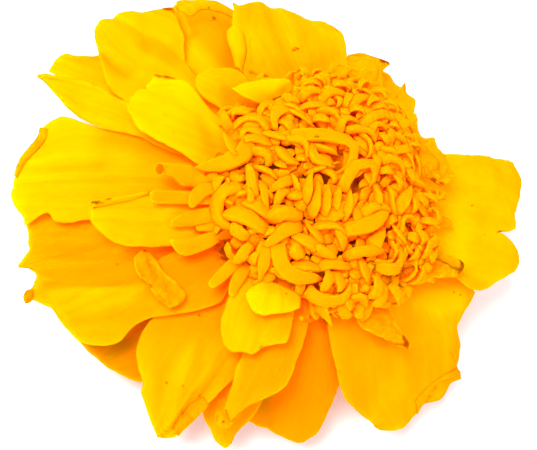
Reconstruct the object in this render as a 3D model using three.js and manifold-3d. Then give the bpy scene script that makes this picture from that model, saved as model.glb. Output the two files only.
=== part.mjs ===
import * as THREE from 'three';
import { mergeVertices } from 'three/addons/utils/BufferGeometryUtils.js';
import Module from 'manifold-3d';

// The picked head of an african marigold, face up on the cut end of its stem. Millimetres and degrees.

const wasm = await Module();
wasm.setup();

// Driving dimensions: stem stub and involucre
const STEM_TOP = 3;
const STEM_RADIUS = 4;
const STEM_RIBS = 6;
const STEM_RIB = 0.15;
const RIM = 15;
const CUP_FOOT_RADIUS = 4.6;
const CUP_BELLY_RADIUS = 8.9;
const CUP_RIM_RADIUS = 8.3;
const BRACTS = 8;
const BRACT_TOOTH = 1.7;
const TOOTH_LIFT = 0.2;

// The rings of the involucre: share of its height, radius, how deep its ribs are and how much it is toothed
const CUP_RINGS = [
  { at: 0, radius: CUP_FOOT_RADIUS, rib: 0, tooth: 0 },
  { at: 0.12, radius: CUP_FOOT_RADIUS + 1.6, rib: 0.1, tooth: 0 },
  { at: 0.35, radius: CUP_BELLY_RADIUS - 0.9, rib: 0.25, tooth: 0 },
  { at: 0.65, radius: CUP_BELLY_RADIUS, rib: 0.3, tooth: 0 },
  { at: 0.88, radius: CUP_RIM_RADIUS + 0.2, rib: 0.2, tooth: 0 },
  { at: 0.96, radius: CUP_RIM_RADIUS + 0.3, rib: 0, tooth: 1 },
  { at: 1, radius: CUP_RIM_RADIUS - 0.3, rib: 0, tooth: 0 },
];

// Driving dimensions: disc of florets, heights over the involucre's rim
const NECK_RADIUS = 6.6;
const DISC_UNDERSIDE = 3.9;
const CORE_RADIUS = 12.8;
const CORE_WALL = 1;
const CORE_HEIGHT = 3.6;
const CORE_DOME = [5, 30, 55, 75];
const CORE_WAIST = 2.8;
const CORE_SIDES = 24;
const FLORETS = 118;
const GOLDEN_ANGLE = 137.508;
const FLORET_CROWDING = 0.8;
const FLORET_TURN = 250;
const FLORET_SCALE = [0.9, 0.2];
const FLORET_STAND = 1.9;
const FLORET_CURL = 3.4;
const FLORET_CREST = 0.75;
const FLORET_TIP = 0.5;
const FLORET_RADIUS = 1.15;
const FLORET_ROOT = 1;
const FLORET_FLATTENING = 0.85;
const HORN_SIDES = 5;
const HORN_RINGS = 5;
const HORN_WIDTH = 1.1;
const HORN_TAPER = 0.3;
const EYE_RADIUS = 1.7;
const LOWEST_FLORET = 94;
const LEVEL_BELOW = 0.3;
const LONG_FLORET_ROOT = 2.5;
const LONG_FLORET_ARCH = 0.6;
const LONG_FLORET_FLATTENING = 0.7;
const MESH_TOLERANCE = 0.03;
const MERGE_WITHIN = 0.0001;

// Driving dimensions: blades of the petals
const BLADE = 0.6;
const CLAW_HALF_WIDTH = 0.8;
const CLAW_REACH = 0.9;
const CLAW_SETBACK = 0.75;
const LAYER_PITCH = 0.78;
const FIRST_LAYER = 0.45;
const RISE_SHARE = 0.4;
const DROP_SHARE = 0.36;
const END_ROUNDING = 0.3;
const RAY_GRID = [8, 6];
const SMALL_GRID = [5, 4];
const WIDTH_STATIONS = [0, 0.25, 0.5, 0.75, 0.95, 1.15];
const END_STATIONS = [-1, -0.5, 0, 0.5, 1];

// The petals of the outer rows, anticlockwise. tip is the azimuth, the reach from the axis and the height
// over the rim; rise and drop are the angles at which the petal leaves the head and droops; root turns its
// claw aside. left and right are half widths at a quarter, a half, three quarters and 95% of its length, on
// its anticlockwise and clockwise side, and end is how far its end falls back, from right to left.
const RAYS = [
  { name: 'ray_petal_01', tip: [1, 34, -7], layer: 2, root: 0, rise: 6, drop: -40,
    left: [4.2, 7.8, 9.6, 9], right: [6.2, 10.6, 10, 4.6], end: [5, 1.6, 1.6, 0.4, 0.8] },
  { name: 'ray_petal_02', tip: [40, 25.5, -8], layer: 0, root: -3, rise: 2, drop: -60,
    left: [2.2, 3, 3.4, 2.4], right: [2.6, 4.8, 6, 4.4], end: [3, 1, 0, 0.6, 1.6] },
  { name: 'ray_petal_03', tip: [57, 29.5, -9], layer: 0, root: 4, rise: 6, drop: -50,
    left: [2.2, 3.8, 3.8, 2.2], right: [2.2, 3.2, 2.6, 1.6], end: [1.5, 0.5, 0, 0.5, 1.5] },
  { name: 'ray_petal_04', tip: [87, 29, -6], layer: 1, root: 0, rise: 8, drop: -45,
    left: [3.8, 6.8, 8, 6.2], right: [3.6, 6, 6.8, 5.8], end: [2.2, 0.6, 0.3, 0.8, 0.4] },
  { name: 'ray_petal_05', tip: [108, 30.5, -7.8], layer: 0, root: 0, rise: 4, drop: -40,
    left: [2.6, 4.8, 5.4, 3.8], right: [2.6, 5, 5.4, 3.8], end: [1.6, 0.6, 0, 0.3, 1.2] },
  { name: 'ray_petal_06', tip: [131, 33, -6], layer: 1, root: -2, rise: 8, drop: -38,
    left: [3.2, 5.6, 6.2, 4], right: [3.2, 5.2, 5, 3.2], end: [1.4, 0.6, 0.4, 0.2, 1.2] },
  { name: 'ray_petal_07', tip: [146, 33.5, -8], layer: 0, root: 2, rise: 4, drop: -34,
    left: [2.6, 4.6, 4.2, 2.6], right: [2.6, 4.2, 3.6, 2.2], end: [1.2, 0.4, 0, 0.3, 1.2] },
  { name: 'ray_petal_08', tip: [155, 34.5, -4.5], layer: 2, root: 3, rise: 7, drop: -32,
    left: [2.8, 4.6, 4.4, 1.4], right: [2.4, 3, 2.4, 0.9], end: [1, 0.3, 0, 0.3, 1] },
  { name: 'ray_petal_09', tip: [177, 34.5, -6], layer: 1, root: 0, rise: 7, drop: -34,
    left: [3.4, 5.8, 6.4, 5], right: [3.4, 6.2, 7, 5], end: [4.2, 1.3, 0, 0.5, 1.8] },
  { name: 'ray_petal_10', tip: [-168, 34, -7.5], layer: 0, root: 0, rise: 4, drop: -30,
    left: [2.6, 4.4, 4.4, 2.4], right: [2.6, 5, 4.8, 2.8], end: [1.8, 0.8, 0, 1, 2] },
  { name: 'ray_petal_11', tip: [-155, 33.5, -5.5], layer: 2, root: 0, rise: 6, drop: -30,
    left: [3.2, 5.4, 6.4, 3.6], right: [3, 4.6, 5.2, 4.6], end: [-0.8, 0, 0, 0.5, 2] },
  { name: 'ray_petal_12', tip: [-143, 30, -9], layer: 0, root: -2, rise: 3, drop: -34,
    left: [2.8, 5.4, 6.5, 4], right: [2.6, 4, 4.6, 3], end: [2, 0.5, 0, 0.5, 2] },
  { name: 'ray_petal_13', tip: [-124, 32, -7], layer: 1, root: -4, rise: 4, drop: -34,
    left: [2.8, 4.4, 3.6, 1.8], right: [3.2, 6.4, 7.2, 2.6], end: [1.2, 0.2, 0, 0.2, 1.2] },
  { name: 'ray_petal_14', tip: [-109, 29, -9], layer: 0, root: -2, rise: 3, drop: -35,
    left: [1.5, 2.4, 2.8, 1.4], right: [1.6, 3.4, 4.6, 2], end: [1.5, 0.5, 0, 0.5, 1.5] },
  { name: 'ray_petal_15', tip: [-113, 28.4, -2.4], layer: 2, root: 7, rise: 6, drop: -30,
    left: [2.2, 3.6, 4, 1.8], right: [2, 3, 3, 1.2], end: [0.8, 0.2, 0, 0.2, 0.8] },
  { name: 'ray_petal_16', tip: [-91, 26.5, -10], layer: 0, root: 2, rise: 4, drop: -42,
    left: [2.6, 4.6, 5.4, 3.8], right: [2.2, 4, 4.8, 4.2], end: [2.4, 0.8, 0, 0.5, 3] },
  { name: 'ray_petal_17', tip: [-52, 27.6, -9], layer: 1, root: 2, rise: 8, drop: -42,
    left: [5.8, 9.8, 10.8, 8.4], right: [6.4, 10.4, 12, 9.2], end: [6, 1.6, 0, 2.2, 1.2] },
];

// The shorter petals of the inner row, in the same terms
const INNER_PETALS = [
  { name: 'inner_petal_01', tip: [160, 25, 3.8], layer: 3, root: -4, rise: 8, drop: -8,
    left: [3.2, 5.2, 5.4, 3.8], right: [3, 4, 4.2, 2.8], end: [1.2, 0.4, 0, 0.3, 1.2] },
  { name: 'inner_petal_02', tip: [-172, 28.2, 1.5], layer: 3, root: 6, rise: 4, drop: -16,
    left: [2.6, 3.6, 3.8, 2.4], right: [1.6, 2, 2.4, 1.8], end: [1, 0.3, 0, 0.2, 1] },
  { name: 'inner_petal_03', tip: [-117, 22, 2.6], layer: 3, root: 0, rise: 6, drop: -20,
    left: [3.2, 4.2, 4.6, 2.8], right: [3.2, 4.2, 4.6, 3.6], end: [1, 0.4, 0, 0.4, 1.2] },
  { name: 'inner_petal_04', tip: [139, 20, 3], layer: 2, root: -9, rise: 8, drop: -5,
    left: [1.6, 2.2, 2.2, 1.4], right: [2.2, 3, 3, 1.8], end: [0.8, 0.2, 0, 0.2, 0.8] },
];

// Petals that lie loose over the others at the edge of the disc: from is their inner end
const LOOSE_PETALS = [
  { name: 'folded_petal', from: [-123, 14.8, 4.6], tip: [-119, 18.8, 4.1], rise: 8, drop: -20,
    left: [1.8, 2.2, 2.6, 2.2], right: [2.4, 2.8, 2.8, 2.2], end: [0.8, 0.2, 0, 0.2, 0.8] },
  { name: 'strap_petal', from: [120, 13.2, 5.2], tip: [120, 16.8, 5.4], rise: 10, drop: -10,
    left: [2.8, 3.4, 3.8, 3.4], right: [2.4, 3, 3.6, 3.4], end: [0.9, 0.2, 0, 0.2, 0.9] },
  { name: 'wilted_petal_01', from: [-158.5, 22.4, 2.2], tip: [-141, 21.8, 2.4], rise: 5, drop: -5,
    left: [1, 1.1, 1.2, 1], right: [1, 1.1, 1.2, 1], end: [0.4, 0.1, 0, 0.1, 0.4] },
  { name: 'wilted_petal_02', from: [-66, 14.2, 3.2], tip: [-58, 20.6, 2.6], rise: 0, drop: -10,
    left: [1.8, 1.7, 1.3, 0.7], right: [1.8, 1.7, 1.3, 0.7], end: [0.4, 0.1, 0, 0.1, 0.4] },
  { name: 'wilted_petal_03', from: [-18, 14, 4.4], tip: [-19, 21, 3.4], rise: 0, drop: -10,
    left: [1.7, 1.5, 1.1, 0.6], right: [1.7, 1.5, 1.1, 0.6], end: [0.4, 0.1, 0, 0.1, 0.4] },
  { name: 'wilted_petal_04', from: [26, 15.4, 4], tip: [11, 19, 3.6], rise: 0, drop: -10,
    left: [0.9, 1.1, 1, 0.6], right: [0.9, 1.1, 1, 0.6], end: [0.3, 0.1, 0, 0.1, 0.3] },
];

// Long florets that lie out over the petals, part of the disc: azimuths of foot and tip, reach, height
const LONG_FLORETS = [
  { from: -178, to: 178, reach: 20.7, height: 5.4, radius: 0.95 },
  { from: -169, to: -174, reach: 21.4, height: 5, radius: 0.8 },
  { from: -153, to: -158, reach: 20.6, height: 4.6, radius: 0.9 },
];

// Where inner and loose petals leave the disc, and no low floret grows: azimuth and half angle
const CLEARINGS = [[-118, 21], [120, 27], [161, 21], [-170, 12]];

const FINISHES = {
  stem: { color: 0x8aa05a, roughness: 0.7 },
  involucre: { color: 0x7d9a4c, roughness: 0.65 },
  petal: { color: 0xffc400, roughness: 0.6 },
  floret: { color: 0xffa800, roughness: 0.6 },
};

const Z_AXIS = new THREE.Vector3(0, 0, 1);
const rad = THREE.MathUtils.degToRad;
const { smoothstep } = THREE.MathUtils;

// A seeded draw between 0 and 1
function seededDraw(seed) {
  let state = seed;
  return () => {
    state = (state + 0x6d2b79f5) | 0;
    let t = Math.imul(state ^ (state >>> 15), 1 | state);
    t = (t + Math.imul(t ^ (t >>> 7), 61 | t)) ^ t;
    return ((t ^ (t >>> 14)) >>> 0) / 4294967296;
  };
}

// The value at x of a smooth curve through the points (xs, ys), with no overshoot
function through(xs, ys, x) {
  const slope = xs.slice(1).map((v, i) => (ys[i + 1] - ys[i]) / (v - xs[i]));
  const tangent = ys.map((_, i) => {
    if (i === 0) return slope[0];
    if (i === ys.length - 1) return slope[i - 1];
    const [a, b] = [slope[i - 1], slope[i]];
    return a * b <= 0 ? 0 : (2 * a * b) / (a + b);
  });
  let k = 0;
  while (k < xs.length - 2 && x > xs[k + 1]) k++;
  const h = xs[k + 1] - xs[k];
  const u = THREE.MathUtils.clamp((x - xs[k]) / h, 0, 1);
  const rise = u * u * (3 - 2 * u);
  const lean = h * u * (1 - u);
  return ys[k] * (1 - rise) + ys[k + 1] * rise + lean * ((1 - u) * tangent[k] - u * tangent[k + 1]);
}

// A closed geometry from a list of points and a list of triangles
function geometryOf(points, triangles) {
  const geometry = new THREE.BufferGeometry();
  const numbers = points.flatMap((p) => [p.x, p.y, p.z]);
  geometry.setAttribute('position', new THREE.Float32BufferAttribute(numbers, 3));
  geometry.setIndex(triangles.flat());
  geometry.computeVertexNormals();
  return geometry;
}

// A point given by its azimuth, its distance from the axis and its height over the rim
function placed([azimuth, radius, height]) {
  return new THREE.Vector3(radius, 0, RIM + height).applyAxisAngle(Z_AXIS, rad(azimuth));
}

// Where a petal of the rows is rooted: higher layers sit further in, on the neck of the disc
function clawOf({ tip, root, layer }) {
  return [tip[0] + root, NECK_RADIUS + CLAW_REACH - CLAW_SETBACK * layer, FIRST_LAYER + LAYER_PITCH * layer];
}

// The middle line of a petal, from its root to its tip
function midline(petal) {
  const start = placed(petal.from ?? clawOf(petal));
  const end = placed(petal.tip);
  const span = start.distanceTo(end);
  const level = end.clone().sub(start).setZ(0).normalize();
  const first = petal.from ? level.clone() : start.clone().setZ(0).normalize();
  const out = first.multiplyScalar(Math.cos(rad(petal.rise))).setZ(Math.sin(rad(petal.rise)));
  const down = level.multiplyScalar(Math.cos(rad(petal.drop))).setZ(Math.sin(rad(petal.drop)));
  const knee = start.clone().addScaledVector(out, RISE_SHARE * span);
  const bend = end.clone().addScaledVector(down, -DROP_SHARE * span);
  return new THREE.CubicBezierCurve3(start, knee, bend, end);
}

// A point of a petal and the blade's normal there: s runs along it, t from its right edge to its left
function petalPoint(petal, line, s, t) {
  const along = line.getTangent(Math.min(s, 1));
  const centre = line.getPoint(Math.min(s, 1));
  const side = new THREE.Vector3().crossVectors(Z_AXIS, along).normalize();
  const normal = new THREE.Vector3().crossVectors(along, side);
  const widths = t > 0 ? petal.left : petal.right;
  const beyond = widths[3] - END_ROUNDING * (widths[2] - widths[3]);
  const half = through(WIDTH_STATIONS, [CLAW_HALF_WIDTH, ...widths, beyond], s);
  const overrun = Math.max(s - 1, 0) * line.getLength();
  return { point: centre.addScaledVector(side, t * half).addScaledVector(along, overrun), normal };
}

// A petal: a thin blade over a grid, split alike on both faces
function petalGeometry(petal, along, across) {
  const line = midline(petal);
  const length = line.getLength();
  const upper = [];
  const lower = [];
  for (let i = 0; i <= along; i++) {
    for (let j = 0; j <= across; j++) {
      const t = (2 * j) / across - 1;
      const s = (i / along) * (1 - through(END_STATIONS, petal.end, t) / length);
      const { point, normal } = petalPoint(petal, line, s, t);
      upper.push(point.clone().addScaledVector(normal, BLADE / 2));
      lower.push(point.clone().addScaledVector(normal, -BLADE / 2));
    }
  }
  return bladeBetween(upper, lower, along, across);
}

// The closed blade between two grids of points, with walls round its edge
function bladeBetween(upper, lower, rows, columns) {
  const under = upper.length;
  const at = (i, j) => i * (columns + 1) + j;
  const triangles = [];
  for (let i = 0; i < rows; i++) {
    for (let j = 0; j < columns; j++) {
      const [a, b, c, d] = [at(i, j), at(i, j + 1), at(i + 1, j + 1), at(i + 1, j)];
      triangles.push([a, d, b], [b, d, c]);
      triangles.push([under + a, under + b, under + d], [under + b, under + c, under + d]);
    }
  }
  const edge = [];
  for (let j = 0; j < columns; j++) edge.push([at(0, j), at(0, j + 1)], [at(rows, j + 1), at(rows, j)]);
  for (let i = 0; i < rows; i++) edge.push([at(i + 1, 0), at(i, 0)], [at(i, columns), at(i + 1, columns)]);
  for (const [a, b] of edge) triangles.push([a, b, under + a], [b, under + b, under + a]);
  return geometryOf([...upper, ...lower], triangles);
}

// A closed solid round the axis: rings of points, with a point on the axis at each end
function turned(rings, segments, outlineAt) {
  const points = [new THREE.Vector3(0, 0, rings[0].z)];
  for (const ring of rings) {
    for (let k = 0; k < segments; k++) {
      const angle = (2 * Math.PI * k) / segments;
      const { radius, lift } = outlineAt(ring, angle);
      points.push(new THREE.Vector3(radius * Math.cos(angle), radius * Math.sin(angle), ring.z + lift));
    }
  }
  const top = points.push(new THREE.Vector3(0, 0, rings.at(-1).z)) - 1;
  const at = (row, k) => 1 + row * segments + (k % segments);
  const triangles = [];
  for (let k = 0; k < segments; k++) {
    triangles.push([0, at(0, k + 1), at(0, k)], [top, at(rings.length - 1, k), at(rings.length - 1, k + 1)]);
    for (let row = 0; row < rings.length - 1; row++) {
      const [a, b, c, d] = [at(row, k), at(row, k + 1), at(row + 1, k + 1), at(row + 1, k)];
      triangles.push([a, b, d], [b, c, d]);
    }
  }
  return geometryOf(points, triangles);
}

// The stem stub, ribbed, with a flat cut end
function stemGeometry() {
  const rings = [
    { z: 0, radius: STEM_RADIUS },
    { z: STEM_TOP / 2, radius: STEM_RADIUS },
    { z: STEM_TOP, radius: CUP_FOOT_RADIUS - STEM_RIB },
  ];
  return turned(rings, 4 * STEM_RIBS, (ring, angle) => {
    return { radius: ring.radius + STEM_RIB * Math.cos(STEM_RIBS * angle), lift: 0 };
  });
}

// The involucre: grown-together bracts, closed on top by the receptacle, with toothed tips that flare out
function involucreGeometry() {
  const rings = CUP_RINGS.map((ring) => ({ ...ring, z: STEM_TOP + ring.at * (RIM - STEM_TOP) }));
  return turned(rings, 6 * BRACTS, (ring, angle) => {
    const phase = ((BRACTS * angle) / (2 * Math.PI)) % 1;
    const tooth = ring.tooth * (1 - Math.abs(2 * phase - 1)) ** 2;
    const rib = ring.rib * Math.cos(BRACTS * angle + Math.PI);
    return { radius: ring.radius + rib + BRACT_TOOTH * tooth, lift: TOOTH_LIFT * tooth };
  });
}

// A geometry as a solid that can be joined
function solidOf(geometry) {
  geometry.deleteAttribute('normal');
  geometry.deleteAttribute('uv');
  const merged = mergeVertices(geometry, MERGE_WITHIN);
  const vertProperties = merged.attributes.position.array;
  return new wasm.Manifold(new wasm.Mesh({ numProp: 3, vertProperties, triVerts: merged.index.array }));
}

// The core of the disc, a neck on the receptacle that widens to a low dome under the florets
function discCore() {
  const profile = [new THREE.Vector2(0, 0), new THREE.Vector2(NECK_RADIUS, 0)];
  profile.push(new THREE.Vector2(NECK_RADIUS - CORE_WAIST, DISC_UNDERSIDE - CORE_WALL / 2));
  profile.push(new THREE.Vector2(CORE_RADIUS - CORE_WALL, DISC_UNDERSIDE + CORE_WALL / 2));
  for (const angle of CORE_DOME) {
    const height = DISC_UNDERSIDE + CORE_WALL + CORE_HEIGHT * Math.sin(rad(angle));
    profile.push(new THREE.Vector2(CORE_RADIUS * Math.cos(rad(angle)), height));
  }
  profile.push(new THREE.Vector2(0, DISC_UNDERSIDE + CORE_WALL + CORE_HEIGHT));
  const geometry = new THREE.LatheGeometry(profile, CORE_SIDES);
  geometry.rotateX(Math.PI / 2);
  geometry.translate(0, 0, RIM);
  return solidOf(geometry);
}

// A fat horn along a curve: a ball of few sides drawn out, flatter by flat, slimmer towards its tip
function hornSolid(curve, radius, flat, across) {
  const horn = new THREE.SphereGeometry(1, HORN_SIDES, HORN_RINGS);
  const position = horn.attributes.position;
  for (let i = 0; i < position.count; i++) {
    const u = 0.5 + 0.5 * Math.sin((position.getY(i) * Math.PI) / 2);
    const depth = new THREE.Vector3().crossVectors(across, curve.getTangent(u));
    const width = radius * (HORN_WIDTH - HORN_TAPER * u);
    const point = curve.getPoint(u);
    point.addScaledVector(across, position.getX(i) * width);
    point.addScaledVector(depth, position.getZ(i) * width * flat);
    position.setXYZ(i, point.x, point.y, point.z);
  }
  return solidOf(horn);
}

// One floret lobe: it stands out of the disc and curls over sideways
function floretSolid(foot, stand, curl, scale) {
  const root = foot.clone().addScaledVector(stand, -FLORET_ROOT);
  const knee = foot.clone().addScaledVector(stand, FLORET_STAND * scale);
  const bend = knee.clone().addScaledVector(curl, FLORET_CREST * FLORET_CURL * scale);
  const tip = foot.clone().addScaledVector(stand, FLORET_TIP * FLORET_STAND);
  tip.addScaledVector(curl, FLORET_CURL * scale);
  const across = new THREE.Vector3().crossVectors(stand, curl).normalize();
  const curve = new THREE.CubicBezierCurve3(root, knee, bend, tip);
  return hornSolid(curve, FLORET_RADIUS, FLORET_FLATTENING, across);
}

// A long floret that lies out over the petals
function longFloretSolid({ from, to, reach, height, radius }) {
  const start = placed([from, CORE_RADIUS - LONG_FLORET_ROOT, height]);
  const end = placed([to, reach, height]);
  const middle = start.clone().lerp(end, 0.5);
  middle.z += LONG_FLORET_ARCH;
  const across = new THREE.Vector3().crossVectors(Z_AXIS, end.clone().sub(start)).normalize();
  const curve = new THREE.QuadraticBezierCurve3(start, middle, end);
  return hornSolid(curve, radius, LONG_FLORET_FLATTENING, across);
}

// Whether a loose petal or a long floret leaves the disc at this azimuth, in degrees
function taken(azimuth) {
  return CLEARINGS.some(([middle, half]) => Math.abs(((azimuth - middle + 540) % 360) - 180) < half);
}

// The florets of the disc, on a golden-angle spiral round an open eye, joined to their core
function discGeometry() {
  const draw = seededDraw(7);
  const florets = LONG_FLORETS.map(longFloretSolid);
  for (let k = 0; k < FLORETS; k++) {
    const fromPole = LOWEST_FLORET * ((k + 0.5) / FLORETS) ** FLORET_CROWDING;
    const height = Math.cos(rad(fromPole));
    const ring = Math.sin(rad(fromPole));
    const azimuth = (k * GOLDEN_ANGLE) % 360;
    const turn = (draw() - 0.5) * FLORET_TURN;
    const scale = FLORET_SCALE[0] + FLORET_SCALE[1] * draw();
    if (ring * CORE_RADIUS < EYE_RADIUS || (height < LEVEL_BELOW && taken(azimuth))) continue;
    const out = new THREE.Vector3(Math.cos(rad(azimuth)), Math.sin(rad(azimuth)), 0);
    const foot = placed([azimuth, CORE_RADIUS * ring, DISC_UNDERSIDE + CORE_WALL + CORE_HEIGHT * height]);
    const stand = out.clone().multiplyScalar(ring / CORE_RADIUS).setZ(height / CORE_HEIGHT).normalize();
    const low = 1 - smoothstep(height, 0, LEVEL_BELOW);
    const downhill = out.clone().multiplyScalar(stand.z).setZ(-Math.hypot(stand.x, stand.y)).normalize();
    const curl = downhill.applyAxisAngle(stand, rad(turn * (1 - low) + 90 * Math.sign(turn) * low));
    florets.push(floretSolid(foot, stand, curl, scale));
  }
  return outerBody(wasm.Manifold.union([discCore(), ...florets]));
}

// The outer surface of a joined solid, with any sealed hollow filled, as a three.js geometry
function outerBody(joined) {
  const shells = joined.simplify(MESH_TOLERANCE).decompose().sort((a, b) => b.volume() - a.volume());
  const { vertProperties, triVerts } = shells[0].getMesh();
  const geometry = new THREE.BufferGeometry();
  geometry.setAttribute('position', new THREE.BufferAttribute(vertProperties, 3));
  geometry.setIndex(new THREE.BufferAttribute(triVerts, 1));
  geometry.computeVertexNormals();
  return geometry;
}

// A named mesh with its own material
function named(name, geometry, finish) {
  const material = new THREE.MeshStandardMaterial({ ...finish, metalness: 0 });
  const mesh = new THREE.Mesh(geometry, material);
  mesh.name = name;
  return mesh;
}

const head = new THREE.Group();
head.add(named('stem', stemGeometry(), FINISHES.stem));
head.add(named('involucre', involucreGeometry(), FINISHES.involucre));
for (const petal of RAYS) {
  head.add(named(petal.name, petalGeometry(petal, ...RAY_GRID), FINISHES.petal));
}
for (const petal of [...INNER_PETALS, ...LOOSE_PETALS]) {
  head.add(named(petal.name, petalGeometry(petal, ...SMALL_GRID), FINISHES.petal));
}
head.add(named('disc_florets', discGeometry(), FINISHES.floret));

// The head is moved so that the frame's origin is at the middle of its foot print
const box = new THREE.Box3().setFromObject(head);
const middle = box.getCenter(new THREE.Vector3());
head.position.set(-middle.x, -middle.y, 0);

const group = new THREE.Group();
group.add(head);

export default group;
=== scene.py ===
import math
import random

import bpy
import numpy as np
from mathutils import Matrix, Vector


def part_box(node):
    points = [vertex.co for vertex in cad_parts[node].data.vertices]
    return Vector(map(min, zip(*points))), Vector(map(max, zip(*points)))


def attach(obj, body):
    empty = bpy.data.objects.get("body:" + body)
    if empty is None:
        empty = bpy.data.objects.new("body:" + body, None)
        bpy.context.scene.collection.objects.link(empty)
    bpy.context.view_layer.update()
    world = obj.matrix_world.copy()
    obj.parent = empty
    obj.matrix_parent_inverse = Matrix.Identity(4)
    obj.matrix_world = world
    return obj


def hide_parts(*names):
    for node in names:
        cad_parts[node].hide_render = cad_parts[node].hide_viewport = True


# An african marigold head, picked, face up on its cut stem. Lengths are in millimetres until a mesh is made.
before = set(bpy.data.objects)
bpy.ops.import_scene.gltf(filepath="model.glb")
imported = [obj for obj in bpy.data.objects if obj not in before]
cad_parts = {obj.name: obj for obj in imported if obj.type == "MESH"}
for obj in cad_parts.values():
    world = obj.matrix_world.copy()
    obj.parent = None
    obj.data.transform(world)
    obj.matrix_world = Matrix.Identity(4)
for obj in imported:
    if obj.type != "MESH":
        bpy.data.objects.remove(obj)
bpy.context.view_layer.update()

MM = 0.001
foot_low, foot_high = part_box("stem")
AXIS = np.array([(foot_low.x + foot_high.x) / 2, (foot_low.y + foot_high.y) / 2, 0.0]) / MM
STEM_TOP = foot_high.z / MM
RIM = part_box("involucre")[1].z / MM
UP_Z = np.array([0.0, 0.0, 1.0])


def unit(v):
    return v / np.maximum(np.linalg.norm(v, axis=-1, keepdims=True), 1e-9)


def smooth(a, b, x):
    t = np.clip((x - a) / (b - a), 0, 1)
    return t * t * (3 - 2 * t)


def placed(azimuth, radius, height):
    """A point given by its azimuth in degrees, its distance from the axis and its height over the rim."""
    a = math.radians(azimuth)
    return AXIS + np.array([radius * math.cos(a), radius * math.sin(a), RIM + height])


# The camera: 33 degrees off the flower's axis, which leans 40 degrees above the picture's right.
# WIDTH, HEIGHT, CENTRE (where the middle of the rim is seen) and FOCAL are in pixels of the photo.
OFF_AXIS = math.radians(33)
LEAN = math.radians(40)
DISTANCE = 230.0
FOCAL = 1955.0
CENTRE = (308.0, 206.0)
WIDTH, HEIGHT = 537, 450
SENSOR = 36.0
away = np.array([math.cos(LEAN), math.sin(LEAN), 0.0])
across = np.array([math.sin(LEAN), -math.cos(LEAN), 0.0])
BACK = math.cos(OFF_AXIS) * UP_Z - math.sin(OFF_AXIS) * away
tilted = math.cos(OFF_AXIS) * away + math.sin(OFF_AXIS) * UP_Z
RIGHT = math.cos(LEAN) * tilted + math.sin(LEAN) * across
UP = math.sin(LEAN) * tilted - math.cos(LEAN) * across
TARGET = AXIS + RIM * UP_Z


def project(points):
    """The photo's pixel of each point."""
    q = points - TARGET
    depth = DISTANCE - q @ BACK
    return np.stack([CENTRE[0] + FOCAL * (q @ RIGHT) / depth, CENTRE[1] - FOCAL * (q @ UP) / depth], -1)


def sight(pixel):
    """The camera's place and the direction in which it sees a pixel."""
    ray = (pixel[0] - CENTRE[0]) / FOCAL * RIGHT - (pixel[1] - CENTRE[1]) / FOCAL * UP - BACK
    return TARGET + DISTANCE * BACK, ray


def at_height(pixel, height):
    """The point seen at a pixel, at a height over the rim."""
    eye, ray = sight(pixel)
    return eye + ray * (RIM + height - eye[2]) / ray[2]


def add_camera():
    data = bpy.data.cameras.new("camera")
    data.sensor_width = SENSOR
    data.lens = FOCAL / WIDTH * SENSOR
    data.shift_x = (WIDTH / 2 - CENTRE[0]) / WIDTH
    data.shift_y = (CENTRE[1] - HEIGHT / 2) / WIDTH
    data.clip_start = 0.01
    data.clip_end = 20
    camera = bpy.data.objects.new("camera", data)
    bpy.context.scene.collection.objects.link(camera)
    place = (TARGET + DISTANCE * BACK) * MM
    rows = [[*map(float, (RIGHT[i], UP[i], BACK[i], place[i]))] for i in range(3)] + [[0, 0, 0, 1]]
    camera.matrix_world = Matrix(rows)
    bpy.context.scene.camera = camera


def table(text):
    """A table of what the photo shows, from text: rows parted by semicolons, each with one or more lines of
    pixels x,y, parted by strokes, and then its numbers."""
    rows = []
    for row in filter(None, map(str.strip, text.split(";"))):
        lines, numbers = [[]], []
        for word in row.split():
            if word == "/":
                lines.append([])
            elif "," in word:
                lines[-1].append(tuple(map(float, word.split(","))))
            else:
                numbers.append(float(word))
        rows.append((*lines, *numbers))
    return rows


# Curves and noise
def through(xs, ys, x):
    """The value at x of a smooth curve through the points (xs, ys), with no overshoot."""
    xs, ys, x = np.asarray(xs, float), np.asarray(ys, float), np.asarray(x, float)
    slope = np.diff(ys) / np.diff(xs)
    tangent = np.concatenate([slope[:1], np.zeros(len(ys) - 2), slope[-1:]])
    a, b = slope[:-1], slope[1:]
    safe = np.where(a * b > 0, a + b, 1)
    tangent[1:-1] = np.where(a * b > 0, 2 * a * b / safe, 0)
    k = np.clip(np.searchsorted(xs, x, side="left") - 1, 0, len(xs) - 2)
    h = xs[k + 1] - xs[k]
    u = np.clip((x - xs[k]) / h, 0, 1)
    rise = u * u * (3 - 2 * u)
    lean = h * u * (1 - u)
    return ys[k] * (1 - rise) + ys[k + 1] * rise + lean * ((1 - u) * tangent[k] - u * tangent[k + 1])


def smooth_line(nodes, count):
    """A smooth line of count points through a few nodes."""
    at, want = np.linspace(0, 1, len(nodes)), np.linspace(0, 1, count)
    return np.stack([through(at, nodes[:, i], want) for i in range(3)], -1)


def rounded(points, times=2):
    """A polyline with its corners cut."""
    points = np.asarray(points, float)
    for _ in range(times):
        a, b = points[:-1], points[1:]
        inner = np.stack([0.75 * a + 0.25 * b, 0.25 * a + 0.75 * b], 1).reshape(-1, points.shape[1])
        points = np.concatenate([points[:1], inner, points[-1:]])
    return points


def resampled(points, count):
    """count points at equal steps along a polyline."""
    step = np.linalg.norm(np.diff(points, axis=0), axis=1)
    at = np.concatenate([[0], np.cumsum(step)])
    want = np.linspace(0, at[-1], count)
    return np.stack([np.interp(want, at, points[:, i]) for i in range(points.shape[1])], -1)


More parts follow.
